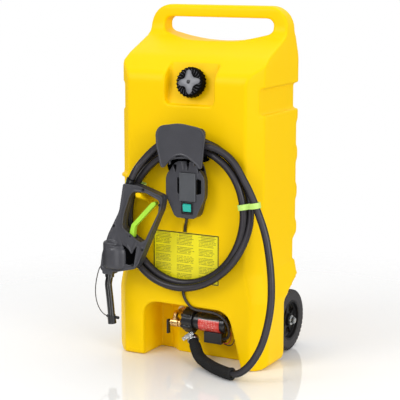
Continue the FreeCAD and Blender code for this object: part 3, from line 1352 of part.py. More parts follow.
def trigger():
    middle = -float(S.nozzle_y)
    half = float(S.trigger_thick) / 2
    pivot = point(S.pivot_x, middle, S.pivot_z)
    edge = [(-158, 392, 5), (-149, 424, 14), (-80, 496, 12), (-68, 500, 5), (-63, 492, 4),
            (-72, 484, 10), (-138, 417, 12), (-142, 383, 5), (-152, 381, 5)]
    lever = prism(edge, "XZ", middle - half, middle + half)
    bore = cylinder(S.trigger_pin_radius.value + S.trigger_gap.value, 3 * half,
                    pivot + ALONG_Y * (1.5 * half), TOWARDS_USER)
    spring_room = cylinder(7.4, 6.4, pivot + ALONG_Y * 3.2, TOWARDS_USER)
    piece("trigger", feature("trigger", lever.cut([bore, spring_room])))
    pin = cylinder(S.trigger_pin_radius, float(S.nozzle_thick) - 2,
                   pivot + ALONG_Y * (float(S.nozzle_thick) / 2 - 1), TOWARDS_USER)
    piece("trigger_pin", feature("trigger_pin", pin))
    coil_spring = cylinder(7.0, 6.0, pivot + ALONG_Y * 3.0, TOWARDS_USER)
    coil_spring = coil_spring.cut(cylinder(3.4, 8, pivot + ALONG_Y * 4, TOWARDS_USER))
    piece("trigger_spring", feature("trigger_spring", coil_spring))
    centre = V(float(S.barrel_x), middle, float(S.barrel_low_z) + 8)
    bore_radius = S.chamber_bore.value
    poppet = turned("valve_poppet", [(0, 0), (bore_radius - 6, 0), (bore_radius - 1, 5),
                                     (bore_radius - 1, 14), (5, 14), (5, 20), (0, 20)],
                    (S.barrel_x, -S.nozzle_y, centre.z + 3))
    piece("valve_poppet", poppet)
    spring_top = centre.z + float(S.barrel_high_z) - float(S.barrel_low_z) - 20
    spring = pipe_ring("poppet_spring", 9.0, 6.0, spring_top - centre.z - 17,
                       (S.barrel_x, -S.nozzle_y, centre.z + 17), ALONG_Z)
    piece("poppet_spring", spring)


tank()
neck_collar()
label_plate()
wheels()
filler_cap()
hose_hook()
wall_screws()
switch_housing()
battery()
switch()
pump()
motor()
fittings()
outlet()
hose()
cables()
nozzle_body()
spout()
trigger()

doc.recompute()
for obj in doc.Objects:
    if "Invalid" in obj.State or "Error" in obj.State:
        raise RuntimeError(f"{obj.Label} was not made: {obj.State}")
for label, obj in PIECES.items():
    if obj.Shape.isNull() or not obj.Shape.isValid():
        raise RuntimeError(f"{label} has no valid shape")
os.makedirs("parts", exist_ok=True)
for label, obj in PIECES.items():
    obj.Shape.exportStep(os.path.join("parts", label + ".step"))
print(f"{len(PIECES)} sub-parts")
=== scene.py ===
"""A wheeled fuel caddy: the looks of its pieces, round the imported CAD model."""

import json
from math import atan2, copysign, cos, hypot, pi, radians, sin, sqrt

import bmesh
import bpy
from mathutils import Matrix, Vector
from mathutils.bvhtree import BVHTree
from mathutils.kdtree import KDTree


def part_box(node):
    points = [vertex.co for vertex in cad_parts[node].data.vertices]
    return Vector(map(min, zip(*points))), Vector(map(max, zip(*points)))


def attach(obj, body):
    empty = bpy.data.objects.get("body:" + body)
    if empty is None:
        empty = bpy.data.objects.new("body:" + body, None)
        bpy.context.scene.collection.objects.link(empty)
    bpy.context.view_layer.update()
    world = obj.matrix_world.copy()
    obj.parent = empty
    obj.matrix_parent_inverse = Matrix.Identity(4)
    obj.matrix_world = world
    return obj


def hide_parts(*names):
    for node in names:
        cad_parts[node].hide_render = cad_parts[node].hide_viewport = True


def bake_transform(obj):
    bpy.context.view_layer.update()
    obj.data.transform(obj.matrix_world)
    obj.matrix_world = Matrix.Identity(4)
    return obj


bl_info = {
    "name": "Wheeled Fuel Caddy",
    "version": (1, 0, 0),
    "blender": (4, 5, 0),
    "location": "3D View > Sidebar > Fuel Caddy",
    "description": "Builds a fuel caddy with its pump, coiled hose and nozzle",
    "category": "Object",
}

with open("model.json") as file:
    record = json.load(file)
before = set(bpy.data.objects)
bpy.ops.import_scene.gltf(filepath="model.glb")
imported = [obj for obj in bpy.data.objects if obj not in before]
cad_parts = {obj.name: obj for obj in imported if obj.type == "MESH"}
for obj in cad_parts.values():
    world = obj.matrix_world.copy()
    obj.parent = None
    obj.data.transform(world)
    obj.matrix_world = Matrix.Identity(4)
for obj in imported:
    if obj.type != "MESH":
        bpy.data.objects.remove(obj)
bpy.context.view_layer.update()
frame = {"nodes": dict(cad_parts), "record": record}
BODIES = frame["record"]["behaviour"]["bodies"]
BODY_OF = {node: body for body, nodes in BODIES.items() for node in nodes}


def linear(red, green, blue):
    """A colour given as it is seen on a screen, from 0 to 255, as light."""
    def one(value):
        value /= 255
        return value / 12.92 if value <= 0.04045 else ((value + 0.055) / 1.055) ** 2.4
    return one(red), one(green), one(blue)


def metres(given):
    """A number of millimetres in metres, and the same for a list of places."""
    if isinstance(given, (int, float)):
        return given / 1000
    return type(given)(metres(each) for each in given)


# Where the hose, cables and wires run, in millimetres until metres makes them metres

HOSE_LEG = metres([(3.72, -103.24, 63.26), (22.76, -120.92, 41.33), (50, -150, 25.5),
    (86, -177, 20.6), (127, -203, 18.8), (166, -222, 18.6), (196, -234, 18.8), (227, -242, 24.5),
    (255, -243, 45), (279, -238, 77), (298, -229, 119), (310, -219, 175), (316, -209, 238),
    (311, -199, 305), (299, -190, 370), (281, -180, 435), (254, -176, 496), (229, -172, 545),
    (208, -171, 579)])
# Angle round the coil, share of the way in from its outer strand, and depth in millimetres
HOSE_COIL = [(-12, 0.05, -172), (6, 0.2, -178), (18, 0.55, -182), (30, 0.9, -182), (42, 1, -181),
    (60, 1, -177), (84, 1, -172), (108, 1, -168), (132, 1, -162), (156, 1, -156.5), (180, 1, -156),
    (204, 1, -156), (228, 1, -156.5), (252, 1, -157), (276, 0.9, -165.5), (300, 0.73, -173.5),
    (324, 0.7, -174.5), (348, 0.72, -172), (372, 0.8, -164.5), (390, 0.82, -160), (408, 0.6, -158),
    (432, 0.5, -157.5), (456, 0.35, -158), (480, 0.05, -163), (504, 0, -167), (528, 0, -170.5),
    (552, 0, -174), (576, 0, -175), (600, 0, -175), (624, 0, -171), (648, 0.12, -162),
    (666, 0.28, -156), (684, 0.34, -154), (708, 0.36, -153.8), (726, 0.36, -154),
    (738, 0.33, -156), (750, 0.12, -163)]
HOSE_END = metres([(0, -176, 695.5), (-28, -182, 687)])
HOSE_TAIL = metres([(-28, -182, 687), (-54, -182, 673), (-82, -182.5, 654), (-106, -185, 631),
    (-127, -190.5, 606), (-141, -199.5, 582), (-152, -199.5, 560)])
POWER_CABLE = metres([(13, -158, 461), (13, -158, 449.5), (11, -156.2, 440.5),
    (7.2, -152.2, 432.5), (2.8, -147.8, 425.5), (-0.9, -143.4, 418), (-3.2, -139.6, 410),
    (-4.4, -138.1, 401), (-5.2, -138.2, 380), (-6.2, -138.2, 340), (-7.5, -138.2, 300),
    (-8.5, -138.2, 262), (-9, -138.3, 246), (-8.8, -142, 229), (-6.5, -146, 213), (0, -147, 198),
    (11, -147.5, 184), (27, -146, 171), (50, -141, 167), (78, -135, 166), (103, -131, 161),
    (121, -128.5, 150), (133, -126, 133), (137.5, -122, 113), (134, -117, 95), (124, -111.5, 83),
    (110, -106, 78)])
MOTOR_WIRES = metres([
    [(107.45, -104, 66), (116, -104, 64), (125, -104, 66), (131, -103, 75), (133, -102, 86),
     (133, -101, 97), (129, -100, 105), (120.4, -100, 107)],
    [(107.45, -96, 60), (117, -96, 57), (128, -96, 57), (137, -95, 65), (141, -94, 78),
     (141, -93, 92), (138, -92, 106), (131, -91, 114), (120.4, -91, 116)]])
CAP_TETHER = metres([(-257.5, -199.5, 289), (-266, -199.5, 282), (-273, -200, 266),
    (-280, -201, 240), (-284, -202, 210), (-283, -202, 182), (-277, -201, 158), (-267, -200, 141),
    (-256, -199.5, 131), (-245.8, -199.5, 127.5)])

# Outlines on the front, as x and z, and the corners of the ties, as across and y

HOOK_STRUT = metres([(-46, 606), (-36, 620), (-6, 594), (-26, 562), (-38, 582)])
HOUSING_NOTCHES = metres([
    [(22.5, 628), (35.5, 628), (29, 594)],
    [(-22, 612), (-8, 612), (-12, 588)],
    [(60, 616), (72, 612), (64.5, 588)],
    [(59.5, 575), (73, 571), (73, 531), (59.5, 527)],
    [(-6.5, 574), (-1, 574), (-1, 525), (-6.5, 529)]])
NOZZLE_RECESS = metres([(-178, 360), (-165.5, 355), (-145.5, 337.5), (-128, 361), (-137.5, 299.5),
    (-178, 300)])
NOZZLE_RIDGES = metres([((-145, 338), (-160, 361)), ((-145, 338), (-128.5, 373)),
    ((-124, 359), (-136, 299))])
TIE_RIGHT = metres([(-32, -172), (-29, -189.5), (-8, -189.5), (2, -181), (10, -183), (14, -191.5),
    (34, -191.5), (38.5, -176), (33, -162), (16, -158), (6, -143.6), (-14, -143.6), (-24, -157)])
TIE_LEFT = metres([(-34, -163), (-28, -181.5), (25, -181.5), (33, -163), (25, -144.5),
    (-26, -144.5)])

# The camera's focal length, place and aim, the lamps' aim, and each lamp's name, place, size
# and power

LENS = 119.4
CAMERA_PLACE, CAMERA_AIM = (1.8801, -3.5289, 1.2185), (-0.028, 0.0, 0.475)
LAMP_AIM = (0.0, -0.05, 0.5)
LAMPS = (("key", (-1.7, -3.1, 2.8), 2.2, 63.0), ("fill", (3.9, -1.7, 1.8), 2.4, 76.0),
         ("top", (0.2, 0.6, 3.6), 2.6, 28.0))


def turns(count):
    """The angles of so many even steps round a circle."""
    return [2 * pi * i / count for i in range(count)]


def ring_point(angle, inward, depth):
    """A place on the hose's tilted ring, from an entry of HOSE_COIL."""
    swell = 1.018
    tilt, turn = radians(58), radians(angle)
    wide = (0.235 - 0.028 * inward) * swell * cos(turn)
    high = (0.209 - 0.024 * inward) * swell * sin(turn)
    x = 0.011 - 0.0015 * inward + wide * cos(tilt) - high * sin(tilt)
    z = 0.466 - 0.015 * inward + wide * sin(tilt) + high * cos(tilt)
    return x, metres(depth), z


# Settings that a user would change

class CaddyColours(bpy.types.PropertyGroup):
    """The colours of the caddy's materials."""

    tank: bpy.props.FloatVectorProperty(
        name="Tank", description="Colour of the moulded tank", subtype="COLOR",
        default=linear(255, 212, 3), min=0, max=1)
    label: bpy.props.FloatVectorProperty(
        name="Label", description="Ground of the printed sheet on the front", subtype="COLOR",
        default=linear(252, 238, 20), min=0, max=1)
    casing: bpy.props.FloatVectorProperty(
        name="Casings", description="Hook, switch housing and nozzle", subtype="COLOR",
        default=linear(74, 74, 79), min=0, max=1)
    hose: bpy.props.FloatVectorProperty(
        name="Hose", description="Rubber of the hose", subtype="COLOR",
        default=linear(62, 59, 63), min=0, max=1)
    accent: bpy.props.FloatVectorProperty(
        name="Trigger", description="Bright plastic of the trigger", subtype="COLOR",
        default=linear(176, 236, 62), min=0, max=1)
    rocker: bpy.props.FloatVectorProperty(
        name="Rocker", description="Paddle of the switch", subtype="COLOR",
        default=linear(40, 190, 170), min=0, max=1)
    motor: bpy.props.FloatVectorProperty(
        name="Motor band", description="Sleeve round the motor", subtype="COLOR",
        default=linear(222, 62, 52), min=0, max=1)


class CaddySizes(bpy.types.PropertyGroup):
    """Sizes of the details that the CAD model leaves to this file."""

    hose: bpy.props.FloatProperty(
        name="Hose", description="Outside diameter of the hose", unit="LENGTH",
        default=0.022, min=0.019, max=0.023)
    cable: bpy.props.FloatProperty(
        name="Cable", description="Diameter of the power cable", unit="LENGTH",
        default=0.0085, min=0.004, max=0.009)
    tank_detail: bpy.props.FloatProperty(
        name="Tank detail", description="Finest shape kept on the moulded tank",
        unit="LENGTH", default=0.0034, min=0.0025, max=0.008)
    tank_softness: bpy.props.IntProperty(
        name="Tank softness", description="How far the tank's edges are rounded",
        default=9, min=0, max=30)
    casing_detail: bpy.props.FloatProperty(
        name="Casing detail", description="Finest shape kept on moulded casings",
        unit="LENGTH", default=0.0011, min=0.0008, max=0.003)
    cap_ribs: bpy.props.IntProperty(
        name="Cap ribs", description="Number of grip ribs round the filler cap",
        default=24, min=12, max=48)
    tread_blocks: bpy.props.IntProperty(
        name="Tread blocks", description="Number of tread blocks round a tyre",
        default=40, min=20, max=72)
    floor: bpy.props.FloatProperty(
        name="Floor", description="Radius of the round floor", unit="LENGTH",
        default=3.0, min=1.5, max=6)


def sizes():
    return bpy.context.scene.caddy_sizes


def own_colour(name):
    return tuple(getattr(bpy.context.scene.caddy_colours, name))


# Materials

def arithmetic(operation):
    """An operator that adds a Math node, and the same with its sides the other way round."""
    return (lambda self, other: self.math(operation, self, other),
            lambda self, other: self.math(operation, other, self))


class Value:
    """A number in a material, on which Python's arithmetic adds Math nodes."""

    def __init__(self, tree, socket):
        self.tree = tree
        self.socket = socket

    def math(self, operation, first, second=0.0):
        return self.tree.add("ShaderNodeMath", {"operation": operation}, {0: first, 1: second})

    __add__, __radd__ = arithmetic("ADD")
    __sub__, __rsub__ = arithmetic("SUBTRACT")
    __mul__, __rmul__ = arithmetic("MULTIPLY")
    __truediv__, __rtruediv__ = arithmetic("DIVIDE")
    __mod__, __rmod__ = arithmetic("FLOORED_MODULO")
    __pow__, __rpow__ = arithmetic("POWER")
    __gt__, __lt__ = arithmetic("GREATER_THAN")

    def __abs__(self):
        return self.math("ABSOLUTE", self)

    def floor(self):
        return self.math("FLOOR", self)

    def between(self, low, high):
        """How far this value has gone from low to high, from 0 to 1."""
        return self.tree.add("ShaderNodeMapRange", {"clamp": True},
                             {"Value": self, "From Min": low, "From Max": high})


class Tree:
    """The nodes of a material or a world."""

    def __init__(self, owner):
        owner.use_nodes = True
        self.tree = owner.node_tree
        self.tree.nodes.clear()

    def plug(self, socket, value):
        """Gives a socket its value, colour or link."""
        if isinstance(value, Value):
            self.tree.links.new(value.socket, socket)
        elif isinstance(value, (tuple, list)) and len(value) < len(socket.default_value):
            socket.default_value = (*value, 1.0)
        else:
            socket.default_value = value

    def node(self, kind, settings, sockets):
        """A node of that kind, with its settings and then its sockets' values or links."""
        node = self.tree.nodes.new(kind)
        for key, value in settings.items():
            setattr(node, key, value)
        for key, value in sockets.items():
            self.plug(node.inputs[key], value)
        return node

    def add(self, kind, settings, sockets, output=0):
        """What comes out of such a node."""
        return Value(self, self.node(kind, settings, sockets).outputs[output])

    def split(self, vector):
        """The three numbers of a place."""
        node = self.node("ShaderNodeSeparateXYZ", {}, {0: vector})
        return [Value(self, socket) for socket in node.outputs]

    def shaders(self, share, first, second):
        return self.add("ShaderNodeMixShader", {}, {0: share, 1: first, 2: second})


class Finish(Tree):
    """A material, with its constants set on the shader itself; dress ends it."""

    def __init__(self, name, constants):
        self.material = bpy.data.materials.new("caddy_" + name)
        super().__init__(self.material)
        self.place = self.add("ShaderNodeTexCoord", {}, {}, "Object")
        self.shader = self.node("ShaderNodeBsdfPrincipled", {}, constants)
        self.surface = Value(self, self.shader.outputs[0])
        self.output = self.node("ShaderNodeOutputMaterial", {}, {"Surface": self.surface})

    def stretched(self, *scale):
        return self.add("ShaderNodeVectorMath", {"operation": "MULTIPLY"},
                        {0: self.place, 1: scale})

    def joined(self, x, y, z):
        return self.add("ShaderNodeCombineXYZ", {}, {0: x, 1: y, 2: z})

    def noise(self, scale, detail=2.0, rough=0.5, at=None):
        return self.add("ShaderNodeTexNoise", {}, {
            "Vector": at or self.place, "Scale": scale, "Detail": detail, "Roughness": rough})

    def cells(self, scale):
        return self.add("ShaderNodeTexVoronoi", {}, {"Vector": self.place, "Scale": scale},
                        "Distance")

    def mix(self, share, first, second):
        """A colour between two, by share."""
        return self.add("ShaderNodeMix", {"data_type": "RGBA"},
                        {0: share, 6: first, 7: second}, 2)

    def slant(self):
        """0 where the surface faces the eye, 1 where it is seen edge on."""
        return self.add("ShaderNodeLayerWeight", {}, {"Blend": 0.5}, "Facing")

    def bump(self, height, depth, under=None):
        normal = {"Normal": under} if under else {}
        return self.add("ShaderNodeBump", {}, {"Height": height, "Distance": depth, **normal})

    def dress(self, colour, rough, normal):
        """Links what changes over the surface to the shader, and returns the material."""
        for socket, value in (("Base Color", colour), ("Roughness", rough), ("Normal", normal)):
            self.plug(self.shader.inputs[socket], value)
        return self.material


def shade(colour, factor):
    return tuple(min(1.0, channel * factor) for channel in colour)


def tank_plastic(name, colour):
    """Blow-moulded plastic: a faint cloud in the colour, a pebbled skin and soft waves."""
    finish = Finish(name, {"Specular IOR Level": 0.1})
    cloud = finish.noise(5.0, 3.0)
    fine = finish.noise(60.0, 4.0, 0.6)
    warm = (colour[0] * 0.985, colour[1] * 0.9, 0.0)
    tint = finish.mix(cloud * 0.55 + fine * 0.2, colour, warm)
    scuffs = finish.noise(220.0, 6.0, 0.75, finish.stretched(1.0, 1.0, 0.3))
    waves = finish.bump(finish.noise(14.0, 1.0), 0.0012)
    return finish.dress(tint, 0.33 + 0.12 * cloud + 0.25 * scuffs.between(0.62, 0.75),
                        finish.bump(finish.noise(1500.0), 0.00006, waves))


def moulded(name, colour, rough, grain, depth, shine=0.5):
    """Injection-moulded plastic: a spark-eroded grain, dull patches, and painted shade that
    darkens the sides seen edge on.
    """
    finish = Finish(name, {"Specular IOR Level": shine})
    cloud = finish.noise(18.0, 4.0)
    rubbed = finish.noise(190.0, 6.0, 0.72).between(0.58, 0.72)
    tint = finish.mix(cloud, shade(colour, 0.8), shade(colour, 1.18))
    dusty = finish.mix(rubbed * 0.35, tint, shade(colour, 1.9))
    # painted shade: faces seen edge on are darkened towards a fifth of their colour, standing in
    # for the shade on the sides
    turned = finish.mix(finish.slant().between(0.3, 0.62) * 0.75, dusty, shade(colour, 0.2))
    scratches = finish.noise(420.0, at=finish.stretched(1.0, 1.0, 6.0))
    normal = finish.bump(scratches, depth * 0.4, finish.bump(finish.cells(grain), depth))
    return finish.dress(turned, rough + 0.12 * (cloud - 0.5) + 0.12 * rubbed, normal)


def hose_rubber(name, colour):
    """Extruded rubber with the faint weave of its wrapping, chalky rub marks, and painted shade on
    the sides seen edge on.
    """
    finish = Finish(name, {"Specular IOR Level": 0.25})
    cloud = finish.noise(24.0, 4.0)
    marks = finish.noise(130.0, 7.0, 0.78).between(0.6, 0.78)
    tint = finish.mix(cloud, shade(colour, 0.72), shade(colour, 1.2))
    chalky = finish.mix(marks * 0.3, tint, shade(colour, 2.6))
    # painted shade: the hose's sides seen edge on are darkened almost to black
    turned = finish.mix(finish.slant().between(0.1, 0.55), chalky, shade(colour, 0.15))
    return finish.dress(turned, 0.2 + 0.1 * cloud + 0.15 * marks,
                        finish.bump(finish.cells(900.0), 0.00002))


def metal(name, colour, rough, tarnish, stretch):
    """Cast or turned metal with tool marks, and darker tarnish in its hollows."""
    finish = Finish(name, {"Metallic": 1.0})
    stain = finish.noise(70.0, 5.0, 0.65).between(0.45, 0.72)
    marks = finish.noise(260.0, 3.0, at=finish.stretched(*stretch))
    pits = finish.bump(finish.noise(900.0), 0.00004, finish.bump(marks, 0.00005))
    return finish.dress(finish.mix(stain, colour, linear(*tarnish)),
                        rough + 0.2 * stain + 0.1 * (marks - 0.5), pits)


def bright_plastic(name, colour):
    """Bright plastic with faint flow marks under a thin gloss."""
    finish = Finish(name, {"Coat Weight": 0.15})
    flow = finish.noise(240.0, 4.0, at=finish.stretched(0.4, 1.0, 1.4))
    tint = finish.mix(finish.noise(35.0, 3.0), shade(colour, 0.86), shade(colour, 1.12))
    return finish.dress(tint, 0.32 + 0.14 * flow, finish.bump(finish.noise(1300.0), 0.00005))


def tyre_rubber(name, colour):
    """Dull tyre rubber with greyer patches of dust."""
    finish = Finish(name, {"Specular IOR Level": 0.4})
    dust = finish.noise(260.0, 6.0, 0.7).between(0.5, 0.75)
    tint = finish.mix(finish.noise(32.0, 5.0, 0.6), shade(colour, 0.7), shade(colour, 1.25))
    dusty = finish.mix(dust * 0.3, tint, linear(120, 116, 112))
    return finish.dress(dusty, 0.62 + 0.2 * dust, finish.bump(finish.noise(700.0, 4.0), 0.00016))


def corrugated_sleeve(name, colour):
    """The rubber guard on the hose's foot, with the fine grain of its mould."""
    finish = Finish(name, {"Specular IOR Level": 0.15})
    scuff = finish.noise(240.0, 6.0, 0.75).between(0.56, 0.76)
    tint = finish.mix(finish.noise(40.0, 5.0, 0.6), shade(colour, 0.65), shade(colour, 1.25))
    worn = finish.mix(scuff * 0.25, tint, linear(96, 94, 92))
    return finish.dress(worn, 0.6 + 0.15 * scuff, finish.bump(finish.noise(1000.0, 3.0), 0.0001))


def printed_label(name, ground):
    """A lemon sheet with a thin frame and three columns of ruled lines in its ink."""
    frame_width, margin_width = 0.0044, 0.0012
    finish = Finish(name, {"Coat Weight": 0.2})
    x, _, z = finish.split(finish.place)
    low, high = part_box("label_plate")
    wide, tall = high.x - low.x, high.z - low.z
    across, up = (x - low.x) / wide, (z - low.z) / tall
    edge_x = abs(across - 0.5) * wide
    edge_z = abs(up - 0.5) * tall

    def rim(width):
        """1 in a rim of that width along the sheet's edges."""
        return ((edge_x > wide / 2 - width) + (edge_z > tall / 2 - width)).between(0.0, 0.5)
    margin = rim(margin_width)
    frame_line = rim(frame_width) * (1 - margin)
    columns, rows = across * 3.0, up * 34.0
    column, along = (columns - 0.001).floor(), columns % 1.0
    line = rows.floor()
    inside_line = abs(rows % 1.0 - 0.5) < 0.27
    block = finish.noise(1.7, 0.0, at=finish.joined(
        column * 7.3, 0.0, (line / 5.0).floor() * 3.1))
    words = finish.noise(1.9, at=finish.joined(across * 34.0 + line * 5.7, line * 3.3, column))
    length = finish.noise(1.3, 0.0, at=finish.joined(line * 2.9, column * 4.1, 0.0))
    in_column = (along > 0.09) * (along < 0.62 + 0.36 * length)
    in_sheet = (up > 0.07) * (up < 0.94) * (edge_x < wide / 2 - 0.009)
    heading = (up > 0.86) * (along > 0.2) * (along < 0.8)
    gap = (line % 6.0) > 0.5
    text = inside_line * in_column * in_sheet * (words > 0.4) * gap * (0.55 + 0.45 * block)
    ink = (text + heading * inside_line * 0.8).between(0.0, 1.0)
    grain = finish.noise(300.0, 3.0)
    sheet = finish.mix(grain, shade(ground, 0.94), ground)
    printed = finish.mix(ink * 0.72, sheet, linear(70, 62, 6))
    framed = finish.mix(frame_line, printed, linear(46, 30, 4))
    outer = finish.mix(margin * 0.5, framed, own_colour("tank"))
    return finish.dress(outer, 0.3 + 0.12 * grain + 0.1 * ink,
                        finish.bump(ink + frame_line, 0.00003))


def motor_print(name, colour):
    """A glossy red sleeve with pale ruled bands, where a maker would print."""
    finish = Finish(name, {"Coat Weight": 0.5, "Coat Roughness": 0.12})
    x, _, z = finish.split(finish.place)
    cloud = finish.noise(40.0, 3.0)
    tint = finish.mix(cloud, shade(colour, 0.85), shade(colour, 1.1))
    rows = abs((z * 190.0) % 1.0 - 0.5) < 0.2
    dashes = finish.noise(210.0, 1.0, at=finish.stretched(1.0, 0.0, 0.35)) > 0.53
    inside = (x > 0.04) * (x < 0.094)
    pale = finish.mix(rows * dashes * inside * 0.55, tint, linear(252, 214, 200))
    edged = finish.mix(z.between(0.1340, 0.1348), pale, linear(24, 24, 26))
    return finish.dress(edged, 0.25 + 0.1 * cloud, finish.bump(finish.noise(800.0), 0.00004))


# Each material's maker, and its colour on a screen or the setting that holds it. A moulding's
# roughness, grain, depth of grain and shine follow, and a metal's roughness, tarnish and the way
# its tool marks run.
FINISHES = {
    "tank_plastic": (tank_plastic, "tank"),
    "printed_label": (printed_label, "label"),
    "hose_rubber": (hose_rubber, "hose"),
    "corrugated_sleeve": (corrugated_sleeve, (34, 34, 34)),
    "tyre_rubber": (tyre_rubber, (48, 46, 48)),
    "motor_print": (motor_print, "motor"),
    "casing_plastic": (moulded, "casing", 0.3, 1400, 0.00004, 0.3),
    "dark_plastic": (moulded, (28, 28, 30), 0.3, 1300, 0.00003),
    "spout_black": (moulded, (16, 16, 17), 0.12, 1500, 0.000008, 0.9),
    "cap_black": (moulded, (9, 9, 10), 0.4, 1200, 0.00002, 0.03),
    "rim_black": (moulded, (27, 26, 27), 0.4, 1200, 0.00003, 0.2),
    # painted shade: near-black with no shine, put in recesses, notches and under the hook's flange
    # where shade falls
    "recess_black": (moulded, (8, 8, 9), 0.7, 900, 0.00003, 0),
    "battery_grey": (moulded, (84, 86, 90), 0.34, 1400, 0.00004),
    "grey_plastic": (moulded, (128, 129, 134), 0.36, 1500, 0.00003),
    "seal_black": (moulded, (30, 30, 30), 0.55, 900, 0.00004),
    "cable_black": (moulded, (44, 38, 36), 0.4, 1600, 0.00003),
    "motor_can": (moulded, (28, 28, 32), 0.28, 1100, 0.00003),
    "zinc_steel": (metal, (205, 208, 210), 0.24, (128, 130, 132), (1, 5, 5)),
    "screw_steel": (metal, (70, 70, 74), 0.42, (40, 38, 38), (3, 3, 1)),
    "brass": (metal, (232, 196, 134), 0.24, (150, 104, 60), (6, 1, 1)),
    "copper_wire": (metal, (200, 120, 84), 0.3, (120, 60, 40), (1, 8, 8)),
    "magnet_grey": (metal, (96, 96, 100), 0.5, (60, 60, 62), (1, 1, 1)),
    "accent_plastic": (bright_plastic, "accent"),
    "rocker_plastic": (bright_plastic, "rocker"),
    "tie_band": (bright_plastic, (200, 240, 120)),
    "red_wire": (bright_plastic, (176, 34, 28)),
}


def material(name):
    """The material of that name, which is made the first time that it is asked for."""
    make, colour, *others = FINISHES[name]
    colour = own_colour(colour) if isinstance(colour, str) else linear(*colour)
    return bpy.data.materials.get("caddy_" + name) or make(name, colour, *others)


# Meshes

def put_in(name, data):
    """A new object of that mesh, curve, lamp or camera."""
    thing = bpy.data.objects.new(name, data)
    bpy.context.scene.collection.objects.link(thing)
    return thing


def give_finish(mesh, finish):
    mesh.materials.clear()
    mesh.materials.append(material(finish))


def add_piece(name, mesh, finish, fellow=None):
    """A new piece of that mesh and material, which rides on the body of a fellow CAD node."""
    thing = put_in(name, mesh)
    mesh.name = name
    give_finish(mesh, finish)
    if fellow is not None:
        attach(thing, BODY_OF[fellow])
    return thing


def stand_in(name, mesh, finish, node):
    """A new piece in the place of a CAD node."""
    thing = add_piece(name, mesh, finish, node)
    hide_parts(node)
    return thing


def dress_nodes(finish, *nodes):
    """Gives CAD nodes whose shape is right a better material."""
    for node in nodes:
        give_finish(frame["nodes"][node].data, finish)


def second_finish(thing, finish, where):
    """Gives a piece's faces another material wherever where(place) holds."""
    thing.data.materials.append(material(finish))
    slot = len(thing.data.materials) - 1
    for face in thing.data.polygons:
        if where(face.center):
            face.material_index = slot


def mesh_of(points, faces, smooth=True):
    mesh = bpy.data.meshes.new("mesh")
    mesh.from_pydata([tuple(point) for point in points], [], faces)
    mesh.polygons.foreach_set("use_smooth", [smooth] * len(mesh.polygons))
    mesh.update()
    return mesh


def net(rows, columns, rows_close, columns_close=True):
    """The faces of a net of points, whose rows or columns may close on themselves."""
    return [(i * columns + k, i * columns + (k + 1) % columns,
             (i + 1) % rows * columns + (k + 1) % columns, (i + 1) % rows * columns + k)
            for i in range(rows if rows_close else rows - 1)
            for k in range(columns if columns_close else columns - 1)]


def settle(shape):
    """The mesh that a bmesh becomes, as the bmesh is freed."""
    mesh = bpy.data.meshes.new("mesh")
    shape.to_mesh(mesh)
    shape.free()
    return mesh


def join_meshes(meshes):
    """One mesh out of several, each with its place already in its points."""
    whole = bmesh.new()
    for mesh in meshes:
        whole.from_mesh(mesh)
    return settle(whole)


def welded(mesh, outward=False):
    """A copy of a mesh whose faces share their points, and all look outward where asked."""
    shape = bmesh.new()
    shape.from_mesh(mesh)
    bmesh.ops.remove_doubles(shape, verts=shape.verts, dist=1e-6)
    if outward:
        bmesh.ops.recalc_face_normals(shape, faces=shape.faces)
    return settle(shape)


def final_mesh(thing):
    """The mesh that an object has with its modifiers; the object itself is taken out."""
    shown = thing.evaluated_get(bpy.context.evaluated_depsgraph_get())
    made = bpy.data.meshes.new_from_object(shown)
    bpy.data.objects.remove(thing)
    return made


def with_modifiers(mesh, *modifiers):
    """The mesh that these modifiers, each a kind and its settings, make of a mesh."""
    thing = put_in("draft", mesh)
    for kind, settings in modifiers:
        modifier = thing.modifiers.new(kind.lower(), kind)
        for key, value in settings.items():
            setattr(modifier, key, value)
    return final_mesh(thing)


def softened(mesh, detail, rounds, keep):
    """A mesh with the rounded edges that a mould leaves."""
    return with_modifiers(
        mesh,
        ("REMESH", {"mode": "VOXEL", "voxel_size": detail, "use_smooth_shade": True}),
        ("SMOOTH", {"factor": 0.5, "iterations": rounds}),
        ("DECIMATE", {"ratio": keep}))


def soft_copy(node, finish, detail, rounds=4, keep=0.4, more=(), front=None):
    """A softened piece in the place of a CAD node, with more forms merged and its front cut."""
    mesh = join_meshes([welded(frame["nodes"][node].data), *more])
    mesh = softened(mesh, detail, rounds, 1.0 if front else keep)
    if front:
        shape_front(mesh, front)
        mesh = with_modifiers(mesh, ("DECIMATE", {"ratio": keep}))
    return stand_in(node + "_moulding", mesh, finish, node)


def put_points(mesh, places):
    mesh.vertices.foreach_set("co", [axis for place in places for axis in place])
    mesh.update()


def shape_front(mesh, depth_at):
    """Cuts a moulding's front: depth_at gets x, y, z and the distance to the nearest edge."""
    places = [vertex.co.copy() for vertex in mesh.vertices]
    facing = [vertex.normal.y for vertex in mesh.vertices]
    edges = [place for place, way in zip(places, facing) if way > -0.6]
    tree = KDTree(len(edges))
    for i, place in enumerate(edges):
        tree.insert(place, i)
    tree.balance()
    for place, way in zip(places, facing):
        if way < -0.85:
            place.y += depth_at(*place, tree.find(place)[2])
    put_points(mesh, places)


def reshape(mesh, move):
    """Puts every point of a mesh where move(place) says."""
    put_points(mesh, [move(vertex.co.copy()) for vertex in mesh.vertices])


def ramp(value, low, high):
    """0 below low, 1 above high, and a smooth rise between them."""
    share = min(1.0, max(0.0, (value - low) / (high - low)))
    return share * share * (3 - 2 * share)


def segment_gap(x, z, first, last):
    """The distance from a place to a straight line between two places."""
    along = (last[0] - first[0], last[1] - first[1])
    share = ((x - first[0]) * along[0] + (z - first[1]) * along[1]) / (
        along[0] ** 2 + along[1] ** 2)
    share = min(1.0, max(0.0, share))
    return hypot(x - first[0] - along[0] * share, z - first[1] - along[1] * share)


